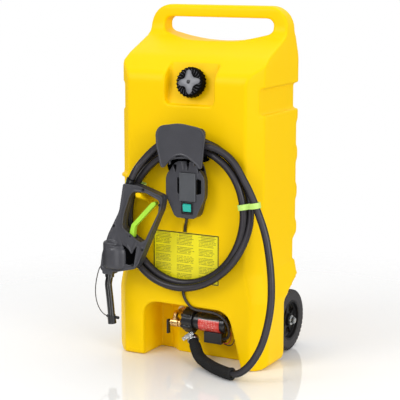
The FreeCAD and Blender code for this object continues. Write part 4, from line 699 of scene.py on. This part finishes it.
def within(x, z, outline):
    """How deep a place is inside an outline; it is negative outside."""
    inside = False
    gap = 1.0
    for first, last in zip(outline, outline[1:] + outline[:1]):
        gap = min(gap, segment_gap(x, z, first, last))
        if (first[1] > z) != (last[1] > z):
            cut = first[0] + (z - first[1]) / (last[1] - first[1]) * (last[0] - first[0])
            inside = inside != (x < cut)
    return gap if inside else -gap


def prism(outline, near, far):
    """An outline of x and z, drawn out from one y to another."""
    count = len(outline)
    faces = [tuple(range(count)), tuple(reversed(range(count, 2 * count)))]
    faces += [(a, d, c, b) for a, b, c, d in net(2, count, False)]
    return welded(mesh_of([(x, y, z) for y in (near, far) for x, z in outline], faces), True)


def ribbon_loop(corners, centre, across, width, thick):
    """A closed band: its corners are (across, y), and it is wide along the third way."""
    line = [Vector(corner) for corner in corners]
    for _ in range(3):
        line = [before.lerp(after, share) for before, after in zip(line, line[1:] + line[:1])
                for share in (0.25, 0.75)]
    across = Vector(across).normalized()
    deep = Vector((0, 1, 0))
    along = across.cross(deep)
    count = len(line)
    section = [(-0.5, -0.35), (-0.42, -0.5), (0.42, -0.5), (0.5, -0.35),
               (0.5, 0.35), (0.42, 0.5), (-0.42, 0.5), (-0.5, 0.35)]
    points = []
    for i, place in enumerate(line):
        way = (line[(i + 1) % count] - line[i - 1]).normalized()
        out = Vector((way.y, -way.x))
        for aside, up in section:
            flat = place + out * (up * thick)
            points.append(Vector(centre) + across * flat.x + deep * flat.y
                          + along * (aside * width))
    return mesh_of(points, net(count, len(section), True))


def spline_curve(name, route):
    """A smooth NURBS curve with a route's points as its control points."""
    curve = bpy.data.curves.new(name, "CURVE")
    curve.dimensions = "3D"
    curve.resolution_u = 10
    spline = curve.splines.new("NURBS")
    spline.points.add(len(route) - 1)
    for point, place in zip(spline.points, route):
        point.co = (*place, 1.0)
    spline.order_u = 3
    spline.use_endpoint_u = True
    return curve


def spline_points(route):
    """The places along a route's NURBS curve, in order."""
    line = final_mesh(put_in("route", spline_curve("route", route)))
    return [vertex.co.copy() for vertex in line.vertices]


def walk(points):
    """The length along a line at each of its points."""
    lengths = [0.0]
    for before, after in zip(points, points[1:]):
        lengths.append(lengths[-1] + (after - before).length)
    return lengths


def along_line(points, lengths, where):
    """The place on a line at a length from its start."""
    for i in range(1, len(points)):
        if lengths[i] >= where:
            share = (where - lengths[i - 1]) / max(lengths[i] - lengths[i - 1], 1e-9)
            return points[i - 1].lerp(points[i], share)
    return points[-1].copy()


def tube_mesh(points, radius_at, sides):
    """A tube round a line: radius_at gives its radius from the length and whole length."""
    lengths = walk(points)
    rows = len(points)
    ways = [(points[min(i + 1, rows - 1)] - points[max(i - 1, 0)]).normalized()
            for i in range(rows)]
    out = ways[0].orthogonal().normalized()
    vertices = []
    for place, way, length in zip(points, ways, lengths):
        out = (out - way * out.dot(way)).normalized()
        aside = way.cross(out)
        radius = radius_at(length, lengths[-1])
        vertices += [place + (out * cos(turn) + aside * sin(turn)) * radius
                     for turn in turns(sides)]
    ends = [tuple(reversed(range(sides))), tuple(range((rows - 1) * sides, rows * sides))]
    return mesh_of(vertices, net(rows, sides, False) + ends)


def lathe(profile, origin, axis, steps, radius_of=None):
    """A profile in millimetres turned round an axis; radius_of may vary it by angle."""
    along = Vector(axis).normalized()
    out = along.orthogonal().normalized()
    aside = along.cross(out)
    profile = metres(profile)
    vertices = []
    for turn in turns(steps):
        way = out * cos(turn) + aside * sin(turn)
        for radius, height in profile:
            reach = radius_of(radius, height, turn) if radius_of else radius
            vertices.append(Vector(origin) + way * reach + along * height)
    faces = [(a, d, c, b) for a, b, c, d in net(steps, len(profile), True, False)]
    return welded(mesh_of(vertices, faces), True)


def block_mesh(size, matrix, bevel):
    """A block with rounded edges, set in place by a matrix."""
    shape = bmesh.new()
    bmesh.ops.create_cube(shape, size=1.0)
    for vertex in shape.verts:
        vertex.co = vertex.co * Vector(size)
    bmesh.ops.bevel(shape, geom=shape.edges[:], offset=bevel, segments=3, profile=0.5,
                    affect="EDGES")
    shape.transform(matrix)
    mesh = settle(shape)
    mesh.polygons.foreach_set("use_smooth", [True] * len(mesh.polygons))
    return mesh


# Cords

def lay_cord(name, nodes, route, diameter, finish, slot, **bend):
    """A round cord along a route, as a curve, in the place of CAD nodes."""
    curve = spline_curve(name, route)
    curve.bevel_depth = diameter / 2
    curve.bevel_resolution = 5
    curve.use_fill_caps = True
    curve.materials.append(material(finish))
    cord = put_in(name, curve)
    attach(cord, "root")
    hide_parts(*nodes)
    walk(spline_points(route))[-1]


def hang_cord(name, node, route, diameter, sides, finish):
    """A cord as a fixed tube along a route between two bodies, in the place of a CAD node."""
    points = spline_points(route)
    mesh = tube_mesh(points, lambda length, whole: diameter / 2, sides)
    cord = add_piece(name, mesh, finish)
    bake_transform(cord)
    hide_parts(node)
    walk(points)[-1]


# Operators, one for each piece or group of like pieces

class CADDY_OT_hose(bpy.types.Operator):
    """Lay the hose from the pump round its coil to the nozzle"""

    bl_idname = "caddy.hose"
    bl_label = "Hose"

    def execute(self, context):
        route = HOSE_LEG + [ring_point(*place) for place in HOSE_COIL] + HOSE_END
        thick = sizes().hose
        lay_cord("hose", ["hose_leg", "hose_coil"], route, thick, "hose_rubber", "hose_rubber",
                 stiffness="stiff", lay="coiled")
        hang_cord("hose_end", "hose_tail", HOSE_TAIL, thick, 28, "hose_rubber")
        self.sleeve(route)
        return {"FINISHED"}

    def sleeve(self, route):
        """The ringed guard over the hose's first bend."""
        points = spline_points(route)
        lengths = walk(points)
        step, pitch = 0.0008, 0.0032
        line = [along_line(points, lengths, step * i) for i in range(1, 320)]

        def radius(length, whole):
            ring = 0.00045 * cos(2 * pi * length / pitch)
            lip = 0.0012 if whole - length < 0.007 else 0.0
            return 0.0150 + 0.0022 * ramp(length, 0.018, 0.023) + ring + lip
        stand_in("hose_guard", tube_mesh(line, radius, 32), "corrugated_sleeve",
                 "hose_sleeve")


class CADDY_OT_cables(bpy.types.Operator):
    """Run the power cable, the motor's wires and the dust cap's tether"""

    bl_idname = "caddy.cables"
    bl_label = "Cables and Tether"

    def execute(self, context):
        lay_cord("power_lead", ["power_cable"], POWER_CABLE, sizes().cable, "cable_black",
                 "cable_black", stiffness="medium", lay="hanging")
        for word, route, finish in zip(("upper", "lower"), MOTOR_WIRES,
                                       ("red_wire", "cable_black")):
            lay_cord(f"motor_wire_{word}", ["motor_wires"], route, 0.0028, finish, "wire_red",
                     stiffness="limp", lay="loose")
        hang_cord("tether", "cap_tether", CAP_TETHER, 0.003, 12, "cable_black")
        return {"FINISHED"}


class CADDY_OT_tank(bpy.types.Operator):
    """Mould the tank with the soft edges and skin of blown plastic"""

    bl_idname = "caddy.tank"
    bl_label = "Tank"

    def execute(self, context):
        mesh = softened(self.outer_skin(frame["nodes"]["tank"].data), sizes().tank_detail,
                        sizes().tank_softness, 0.4)
        stand_in("tank_moulding", mesh, "tank_plastic", "tank")
        dress_nodes("tank_plastic", "neck_collar")
        return {"FINISHED"}

    def outer_skin(self, source):
        """The faces of the hollow tank from which some way leads out, with its holes closed."""
        shape = bmesh.new()
        shape.from_mesh(source)
        bmesh.ops.remove_doubles(shape, verts=shape.verts, dist=1e-5)
        shape.faces.ensure_lookup_table()
        tree = BVHTree.FromBMesh(shape)
        ways = [Vector((x, y, z)).normalized() for x in (-1, 0, 1) for y in (-1, 0, 1)
                for z in (-1, 0, 1) if (x, y, z) != (0, 0, 0)]

        def sees_out(face):
            start = face.calc_center_median() + face.normal * 2e-4
            return any(way.dot(face.normal) > 0.05 and tree.ray_cast(start, way)[0] is None
                       for way in ways)
        skin = self.largest_group({face for face in shape.faces if sees_out(face)})
        bmesh.ops.delete(shape, geom=[face for face in shape.faces if face not in skin],
                         context="FACES")
        bmesh.ops.holes_fill(shape, edges=[edge for edge in shape.edges if edge.is_boundary])
        return settle(shape)

    def largest_group(self, faces):
        """The faces that are joined to each other in the largest connected patch."""
        left, best = set(faces), set()
        while left:
            group, edge_of_it = set(), [left.pop()]
            while edge_of_it:
                face = edge_of_it.pop()
                group.add(face)
                near = {other for edge in face.edges for other in edge.link_faces} & left
                left -= near
                edge_of_it.extend(near)
            best = max(best, group, key=len)
        return best


class CADDY_OT_label(bpy.types.Operator):
    """Print the sheet on the tank's front"""

    bl_idname = "caddy.label"
    bl_label = "Label"

    def execute(self, context):
        dress_nodes("printed_label", "label_plate")
        return {"FINISHED"}


class CADDY_OT_cap(bpy.types.Operator):
    """Turn the filler cap, with slanted ribs that run over its rim and painted highlights on their
    crests
    """

    bl_idname = "caddy.cap"
    bl_label = "Filler Cap"

    def execute(self, context):
        tilt = radians(13)
        axis = Vector((0, -cos(tilt), sin(tilt)))
        seat = Vector((0.010, -0.109, 0.845))
        rim, top = 0.0436, 0.0300
        ribs = sizes().cap_ribs

        def fin(radius, height, turn):
            slant = turn * ribs - height * 150.0 + (rim - radius) * 240.0
            return ramp(cos(slant), 0.45, 0.95)

        def radius_of(radius, height, turn):
            if radius < 0.0400:
                return radius
            return radius + 0.0026 * fin(radius, height, turn) - 0.0006
        profile = [(37.5, 4.5), (42.5, 4.2), (43.4, 5.2), (43.4, 10), (43.4, 15), (43.4, 20),
                   (43.4, 24.5), (43, 27.2), (41.5, 29.2), (39.2, 30),
                   *((37.5 - 2.5 * i, 30) for i in range(7)), (0, 30)]
        shell = lathe(profile, seat, axis, ribs * 10, radius_of)
        out = axis.orthogonal().normalized()
        aside = axis.cross(out)

        def raise_fins(place):
            reach = place - seat
            height = reach.dot(axis)
            flat = reach - axis * height
            if height < top - 0.001 or flat.length < 0.0240:
                return place
            turn = atan2(flat.dot(aside), flat.dot(out))
            return place + axis * (0.0019 * fin(flat.length, top - 0.001, turn))
        reshape(shell, raise_fins)
        cap = stand_in("cap_cover", shell, "cap_black", "cap_shell")
        # painted highlight: the raised crests of the fins on the top take the lighter casing grey,
        # standing in for glints on the black ribs
        second_finish(cap, "casing_plastic",
                      lambda place: (place - seat).dot(axis) > top + 0.0014)
        self.crown(seat, axis, top)
        dress_nodes("seal_black", "cap_gasket")
        return {"FINISHED"}

    def crown(self, seat, axis, base):
        """The grey four-pointed grip with its round button."""
        out = Vector((1, 0, 0))
        aside = axis.cross(out)
        corners, rise = 96, 0.0034
        top, rim = [], []
        for turn in turns(corners):
            star = 0.5 + 0.5 * cos(4 * (turn - 0.14))
            reach = 0.0200 + 0.0165 * star ** 1.5
            way = out * cos(turn) + aside * sin(turn)
            rim.append(seat + axis * base + way * reach)
            top.append(seat + axis * (base + rise) + way * (reach - 0.0016))
        centre = seat + axis * (base + 0.0030)
        inner = [centre + (place - centre) * 0.45 for place in top]
        middle = [(2 * corners + i, 2 * corners + (i + 1) % corners, 3 * corners)
                  for i in range(corners)]
        star = mesh_of(rim + top + inner + [centre], net(3, corners, False) + middle)
        button = lathe([(0, 4.9), (4.5, 4.7), (5.8, 4), (5.8, 1)], seat + axis * base, axis, 40)
        crown = stand_in("cap_crown", join_meshes([star, button]), "grey_plastic",
                         "cap_insert")

        def on_button(place):
            height = (place - seat).dot(axis)
            return height > base + rise + 0.0002 and (place - seat - axis * height).length < 0.0059
        second_finish(crown, "dark_plastic", on_button)


class CADDY_OT_hook(bpy.types.Operator):
    """Mould the hose hook and its back plate, and finish their screws"""

    bl_idname = "caddy.hook"
    bl_label = "Hose Hook"

    def execute(self, context):
        def depth_at(x, y, z, gap):
            return 0.0011 * ramp(gap, 0.0035, 0.0055) if y < -0.196 else 0.0
        hook = soft_copy("hose_hook", "casing_plastic",
                         sizes().casing_detail, more=[prism(HOOK_STRUT, -0.144, -0.172)],
                         front=depth_at)
        reshape(hook.data, self.slim_plate)
        # painted shade: the hook's faces between its back plate and its front flange (sides,
        # saddle and strut) are made near-black where shade falls
        second_finish(hook, "recess_black", lambda place: -0.193 < place.y < -0.150)
        dress_nodes("screw_steel", "wall_screws")
        return {"FINISHED"}

    def slim_plate(self, place):
        """Rounds the back plate off behind the housing, and draws its upper corners in."""
        middle = 0.018
        if place.y < -0.188:
            place.z -= 0.011 * ramp(-place.x, 0.012, 0.045) * ramp(0.66 - place.z, 0.0, 0.045)
        if place.y < -0.150:
            return place
        if place.z > 0.625:
            share = ramp(place.z, 0.625, 0.66)
            place.x = middle + (place.x - middle) * (1 - 0.12 * share)
            place.z -= 0.006 * ramp(place.z, 0.68, 0.72)
        else:
            bow = sqrt(max(0.1, 1 - ((place.z - 0.550) / 0.100) ** 2))
            place.x = middle + (place.x - middle) * min(1.0, bow)
        return place


class CADDY_OT_housing(bpy.types.Operator):
    """Mould the switch housing with its battery, switch and cable gland"""

    bl_idname = "caddy.housing"
    bl_label = "Switch Housing"

    def execute(self, context):
        detail = sizes().casing_detail
        housing = soft_copy("switch_housing", "casing_plastic", detail,
                            front=self.depth_at)
        reshape(housing.data, self.taper)
        # painted shade: the notches and finger slots are made near-black where shade falls in them
        second_finish(housing, "recess_black", lambda place: any(
            within(place.x, place.z, notch) > 0.0005 for notch in HOUSING_NOTCHES))
        soft_copy("battery_pack", "battery_grey", detail, 3)
        soft_copy("switch_bezel", "dark_plastic", 0.0007, 2, 0.5)
        soft_copy("rocker_switch", "rocker_plastic", 0.0006, 2, 0.5)
        dress_nodes("dark_plastic", "cable_gland")
        return {"FINISHED"}

    def depth_at(self, x, y, z, gap):
        """Deep notches between the petals at the top, and the finger slots."""
        if y > -0.176:
            return 0.0
        return 0.009 * max(ramp(within(x, z, notch), -0.0006, 0.0012)
                           for notch in HOUSING_NOTCHES)

    def taper(self, place):
        """Draws the sides in towards the tank and towards the top."""
        side = place.x - 0.020
        outer = ramp(abs(side), 0.040, 0.060)
        pull = 0.008 * ramp(place.y, -0.180, -0.150) + 0.006 * ramp(place.z, 0.580, 0.615)
        place.x -= copysign(pull * outer, side)
        return place


class CADDY_OT_pump(bpy.types.Operator):
    """Finish the pump, its motor, valve and fittings"""

    bl_idname = "caddy.pump"
    bl_label = "Pump and Motor"

    def execute(self, context):
        box = soft_copy("junction_box", "dark_plastic", 0.0009, 8)
        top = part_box("junction_box")[1].z
        reshape(box.data, lambda place: Vector((place.x, place.y, top - (top - place.z) * 0.76)))
        self.lugs()
        self.nuts()
        dress_nodes("dark_plastic", "pump_head", "pump_cover", "valve_lever")
        dress_nodes("motor_can", "motor_housing", "motor_end_bell", "pump_rotor")
        dress_nodes("motor_print", "motor_band")
        dress_nodes("zinc_steel", "motor_bearings", "valve_ball", "motor_bracket")
        dress_nodes("screw_steel", "pump_screws")
        dress_nodes("copper_wire", "motor_armature")
        dress_nodes("magnet_grey", "motor_magnets")
        dress_nodes("brass", "inlet_nipple", "valve_body", "valve_stem", "tank_elbow",
                    "pump_outlet")
        return {"FINISHED"}

    def lugs(self):
        """Bolt lugs round the pump head, each with its cap screw."""
        head, reach = Vector((-0.0235, -0.097, 0.121)), 0.0325
        lugs, screws = [], []
        for turn in turns(6):
            turn += radians(24)
            place = head + Vector((0, reach * cos(turn), reach * sin(turn)))
            lugs.append(lathe([(0, 0), (5.8, 0), (6.4, 0.8), (6.4, 30), (0, 30)],
                              place, (1, 0, 0), 24))
            screws.append(lathe([(0, -2.8), (3, -2.8), (3.4, -2.2), (3.4, 1), (0, 1)],
                                place, (1, 0, 0), 6))
        add_piece("pump_lugs", join_meshes(lugs), "dark_plastic", "pump_head")
        add_piece("lug_screws", join_meshes(screws), "screw_steel", "pump_head")

    def nuts(self):
        """Two hexagon nuts on the inlet side."""
        ring = [(9, 0), (13.5, 0), (14.5, 0.8), (14.5, 7.2), (13.5, 8), (9, 8), (9, 0)]
        nuts = [lathe(ring, (x, -0.097, 0.106), (1, 0, 0), 6) for x in (-0.033, -0.047)]
        add_piece("pipe_nuts", join_meshes(nuts), "brass", "inlet_nipple")


class CADDY_OT_ties(bpy.types.Operator):
    """Fasten the hose with its two ties and the clamp at the pump"""

    bl_idname = "caddy.ties"
    bl_label = "Ties and Clamp"

    def execute(self, context):
        self.ties()
        self.clamp()
        return {"FINISHED"}

    def ties(self):
        """Each tie is one band: the right one is pinched between its two strands."""
        tilt = radians(11)
        width, thick = 0.0165, 0.0019
        right = ribbon_loop(TIE_RIGHT, (0.2245, 0, 0.507), (cos(tilt), 0, sin(tilt)),
                            width, thick)
        left = ribbon_loop(TIE_LEFT, (-0.158, 0, 0.5375), (1, 0, -0.1), width, thick)
        stand_in("hose_ties", join_meshes([right, left]), "tie_band",
                 "hose_straps")

    def clamp(self):
        """A worm-drive clamp: band, screw housing and the band's loose end."""
        way = Vector((0.56, -0.52, -0.645)).normalized()
        centre = Vector((-0.003, -0.097, 0.071)) + way * 0.012
        band = lathe([(15.2, -6.5), (17.6, -6.5), (18.2, -5.5), (18.2, 5.5), (17.6, 6.5),
                      (15.2, 6.5), (15.2, -6.5)], centre, way, 64)
        aside = Vector((0.81, 0, 0.59)).normalized()
        out = Vector((0, -1, 0))
        turned = Matrix((aside, out, aside.cross(out))).transposed().to_4x4()
        place = Vector((-0.004, -0.1205, 0.0765))
        loose = place - aside * 0.004 + Vector((0, 0.0035, 0))
        box = block_mesh((0.022, 0.009, 0.0135), Matrix.Translation(place) @ turned, 0.0015)
        tail = block_mesh((0.044, 0.0016, 0.0115), Matrix.Translation(loose) @ turned, 0.0005)
        screw = lathe([(0, -17), (4, -17), (5, -16), (5, -10), (4, -10), (4, 13), (0, 13)],
                      place, aside, 24)
        stand_in("worm_clamp", join_meshes([band, box, tail, screw]), "zinc_steel",
                 "hose_clamp")


class CADDY_OT_nozzle(bpy.types.Operator):
    """Mould the nozzle's shells and trigger, and finish its spout and dust cap"""

    bl_idname = "caddy.nozzle"
    bl_label = "Nozzle"

    def execute(self, context):
        detail = sizes().casing_detail
        front = soft_copy("nozzle_front_shell", "casing_plastic", detail,
                          front=self.depth_at)
        # painted shade: the hollow beside the boot is made near-black where shade falls in it
        second_finish(front, "recess_black", lambda place: (
            place.y > -0.2135 and within(place.x, place.z, NOZZLE_RECESS) > 0.0005))
        soft_copy("nozzle_back_shell", "casing_plastic", detail)
        self.boot()
        soft_copy("trigger", "accent_plastic", 0.0009, 3, 0.5)
        dress_nodes("dark_plastic", "nozzle_inlet", "spout_cap")
        dress_nodes("spout_black", "nozzle_spout")
        dress_nodes("screw_steel", "nozzle_screws", "trigger_pin", "valve_poppet")
        dress_nodes("zinc_steel", "trigger_spring", "poppet_spring")
        return {"FINISHED"}

    def depth_at(self, x, y, z, gap):
        """A raised rim along every edge, a hollow beside the boot, and ridges across it."""
        if y > -0.214 or z < 0.285:
            return 0.0
        depth = 0.0016 * ramp(gap, 0.0045, 0.0065)
        depth = max(depth, 0.006 * ramp(within(x, z, NOZZLE_RECESS), -0.001, 0.0015))
        for first, last in NOZZLE_RIDGES:
            ridge = 1 - ramp(segment_gap(x, z, first, last), 0.0012, 0.003)
            depth = depth * (1 - ridge) - 0.0012 * ridge
        return depth

    def boot(self):
        """The ribbed rubber boot in front of the valve barrel."""
        profile = [(0, 281), (20, 281), (26.2, 283), (29.2, 288), (30.4, 296), (30.6, 306),
                   (30.9, 320), (30.6, 334), (30, 345), (28.4, 352), (26.2, 355),
                   (25.5, 356.5), (26.2, 358), (26.6, 361), (24, 364), (0, 364.5)]
        mesh = lathe(profile, (0, 0, 0), (0, 0, 1), 96)
        reshape(mesh, lambda place: Vector((
            place.x * 1.33 - 0.208, place.y * 0.9 - 0.2035, 0.0337 + place.z * 0.885)))
        add_piece("barrel_boot", mesh, "casing_plastic",
                  "nozzle_front_shell")


class CADDY_OT_wheels(bpy.types.Operator):
    """Build the wheels with their tread, and finish the axle"""

    bl_idname = "caddy.wheels"
    bl_label = "Wheels"

    def execute(self, context):
        for word, side in (("right", 1), ("left", -1)):
            self.tyre(f"tyre_{word}", side)
            soft_copy(f"rim_{word}", "rim_black", 0.0013, 2, 0.5)
            dress_nodes("grey_plastic", f"bush_{word}")
        dress_nodes("zinc_steel", "axle", "axle_fixings")
        return {"FINISHED"}

    def tyre(self, node, side):
        """A tyre with rounded shoulders, ringed walls and notched tread blocks."""
        low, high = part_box(node)
        middle = Vector(((low.x + high.x) / 2, 0.127, 0.096))
        blocks, crest, foot = sizes().tread_blocks, 0.0959, 0.085
        half = [(62.2, 18.5), (66, 19.5), (69, 20.7), (71.5, 19.9), (74.5, 20.4), (77.5, 21.2),
                (80, 20.6), (83, 20.8), (86.5, 20.9), (90, 20.3), (93, 18.7), (95, 16),
                (95.5, 12), (95.6, 8), (93.5, 6.2), (93.5, 4), (95.8, 2.4), (95.9, 0)]
        mirrored = [(radius, -height) for radius, height in reversed(half[:-1])]

        def radius_of(radius, height, turn):
            if radius < 0.0855 or abs(height) < 0.005:
                return radius
            shift = 0.5 if height > 0 else 0.0
            slant = (crest - radius) * 45.0
            notch = (turn * blocks / (2 * pi) + shift + slant) % 1.0
            deep = 0.0046 * min(1.0, (radius - foot) * 250.0)
            return radius - deep if notch < 0.34 else radius
        mesh = lathe(half + mirrored + half[:1], middle, (side, 0, 0), blocks * 10, radius_of)
        stand_in(node + "_tread", mesh, "tyre_rubber", node)


class CADDY_OT_stage(bpy.types.Operator):
    """Set up the camera, the lamps and the pale floor"""

    bl_idname = "caddy.stage"
    bl_label = "Stage"

    def execute(self, context):
        data = bpy.data.cameras.new("camera")
        data.sensor_width = 36.0
        data.lens = LENS
        context.scene.camera = self.aimed(put_in("camera", data), CAMERA_PLACE, CAMERA_AIM)
        self.world(context)
        self.floor()
        for name, place, size, power in LAMPS:
            data = bpy.data.lights.new(name, "AREA")
            data.shape = "DISK"
            data.size = size
            data.energy = power
            self.aimed(put_in(name, data), place, LAMP_AIM)
        context.scene.view_settings.view_transform = "Standard"
        return {"FINISHED"}

    def aimed(self, thing, place, target):
        thing.location = place
        way = Vector(target) - thing.location
        thing.rotation_euler = way.to_track_quat("-Z", "Y").to_euler()
        return thing

    def world(self, context):
        """Plain even light, and white where the camera or a reflection looks past the floor."""
        world = bpy.data.worlds.new("studio")
        sky = Tree(world)

        def light(strength):
            return sky.add("ShaderNodeBackground", {},
                           {"Color": (1.0, 1.0, 1.0), "Strength": strength})
        x, y, z = sky.split(sky.add("ShaderNodeTexCoord", {}, {}, "Generated"))
        above = z.between(-0.02, 0.03)
        wall = y.between(-0.3, 0.5) * (1 - x.between(0.0, 0.4)) * above
        side_light = x.between(0.6, 0.95) * 1.8
        front_light = (1 - abs(x - 0.12) / 0.22).between(0.0, 0.6) * (0 - y).between(0.6, 0.9)
        reflected = 0.08 + above * 0.17 + wall * 0.75 + side_light + front_light * 3.0
        seen = sky.add("ShaderNodeLightPath", {}, {}, "Is Camera Ray")
        mirrored = sky.add("ShaderNodeLightPath", {}, {}, "Is Glossy Ray")
        even, backdrop = 0.62, 1.0
        lit = sky.shaders(mirrored, light(even), light(reflected))
        sky.node("ShaderNodeOutputWorld", {}, {0: sky.shaders(seen, lit, light(backdrop))})
        context.scene.world = world

    def floor(self):
        """A round white floor that keeps the shadow and fades into the backdrop."""
        reach, steps = sizes().floor, 96
        mesh = mesh_of([(reach * cos(turn), reach * sin(turn), 0.0) for turn in turns(steps)],
                       [tuple(range(steps))], smooth=False)
        finish = Finish("floor_white", {"Base Color": (0.93, 0.93, 0.93), "Roughness": 0.04,
                                        "Specular IOR Level": 0.6})
        x, y, _ = finish.split(finish.place)
        away = ((x * x + y * y) ** 0.5).between(0.55, 1.5)
        clear = finish.add("ShaderNodeBsdfTransparent", {}, {})
        finish.plug(finish.output.inputs["Surface"],
                    finish.shaders(away, finish.surface, clear))
        mesh.materials.append(finish.material)
        put_in("floor", mesh)


OPERATORS = (
    CADDY_OT_stage, CADDY_OT_hose, CADDY_OT_cables, CADDY_OT_tank, CADDY_OT_label,
    CADDY_OT_cap, CADDY_OT_hook, CADDY_OT_housing, CADDY_OT_pump, CADDY_OT_ties,
    CADDY_OT_nozzle, CADDY_OT_wheels)


class CADDY_PT_pieces(bpy.types.Panel):
    """The caddy's settings and one button for each group of pieces"""

    bl_label = "Fuel Caddy"
    bl_idname = "CADDY_PT_pieces"
    bl_space_type = "VIEW_3D"
    bl_region_type = "UI"
    bl_category = "Fuel Caddy"

    def draw(self, context):
        layout = self.layout
        for title, group in (("Colours", context.scene.caddy_colours),
                             ("Sizes", context.scene.caddy_sizes)):
            box = layout.box()
            box.label(text=title)
            for name in group.__annotations__:
                box.prop(group, name)
        for operator in OPERATORS:
            layout.operator(operator.bl_idname)


CLASSES = (CaddyColours, CaddySizes, *OPERATORS, CADDY_PT_pieces)


def register():
    for each in CLASSES:
        bpy.utils.register_class(each)
    bpy.types.Scene.caddy_colours = bpy.props.PointerProperty(type=CaddyColours)
    bpy.types.Scene.caddy_sizes = bpy.props.PointerProperty(type=CaddySizes)


def unregister():
    del bpy.types.Scene.caddy_sizes
    del bpy.types.Scene.caddy_colours
    for each in reversed(CLASSES):
        bpy.utils.unregister_class(each)


def main():
    register()
    for operator in OPERATORS:
        group, name = operator.bl_idname.split(".")
        getattr(getattr(bpy.ops, group), name)()
    bpy.context.view_layer.update()


if __name__ == "__main__":
    main()
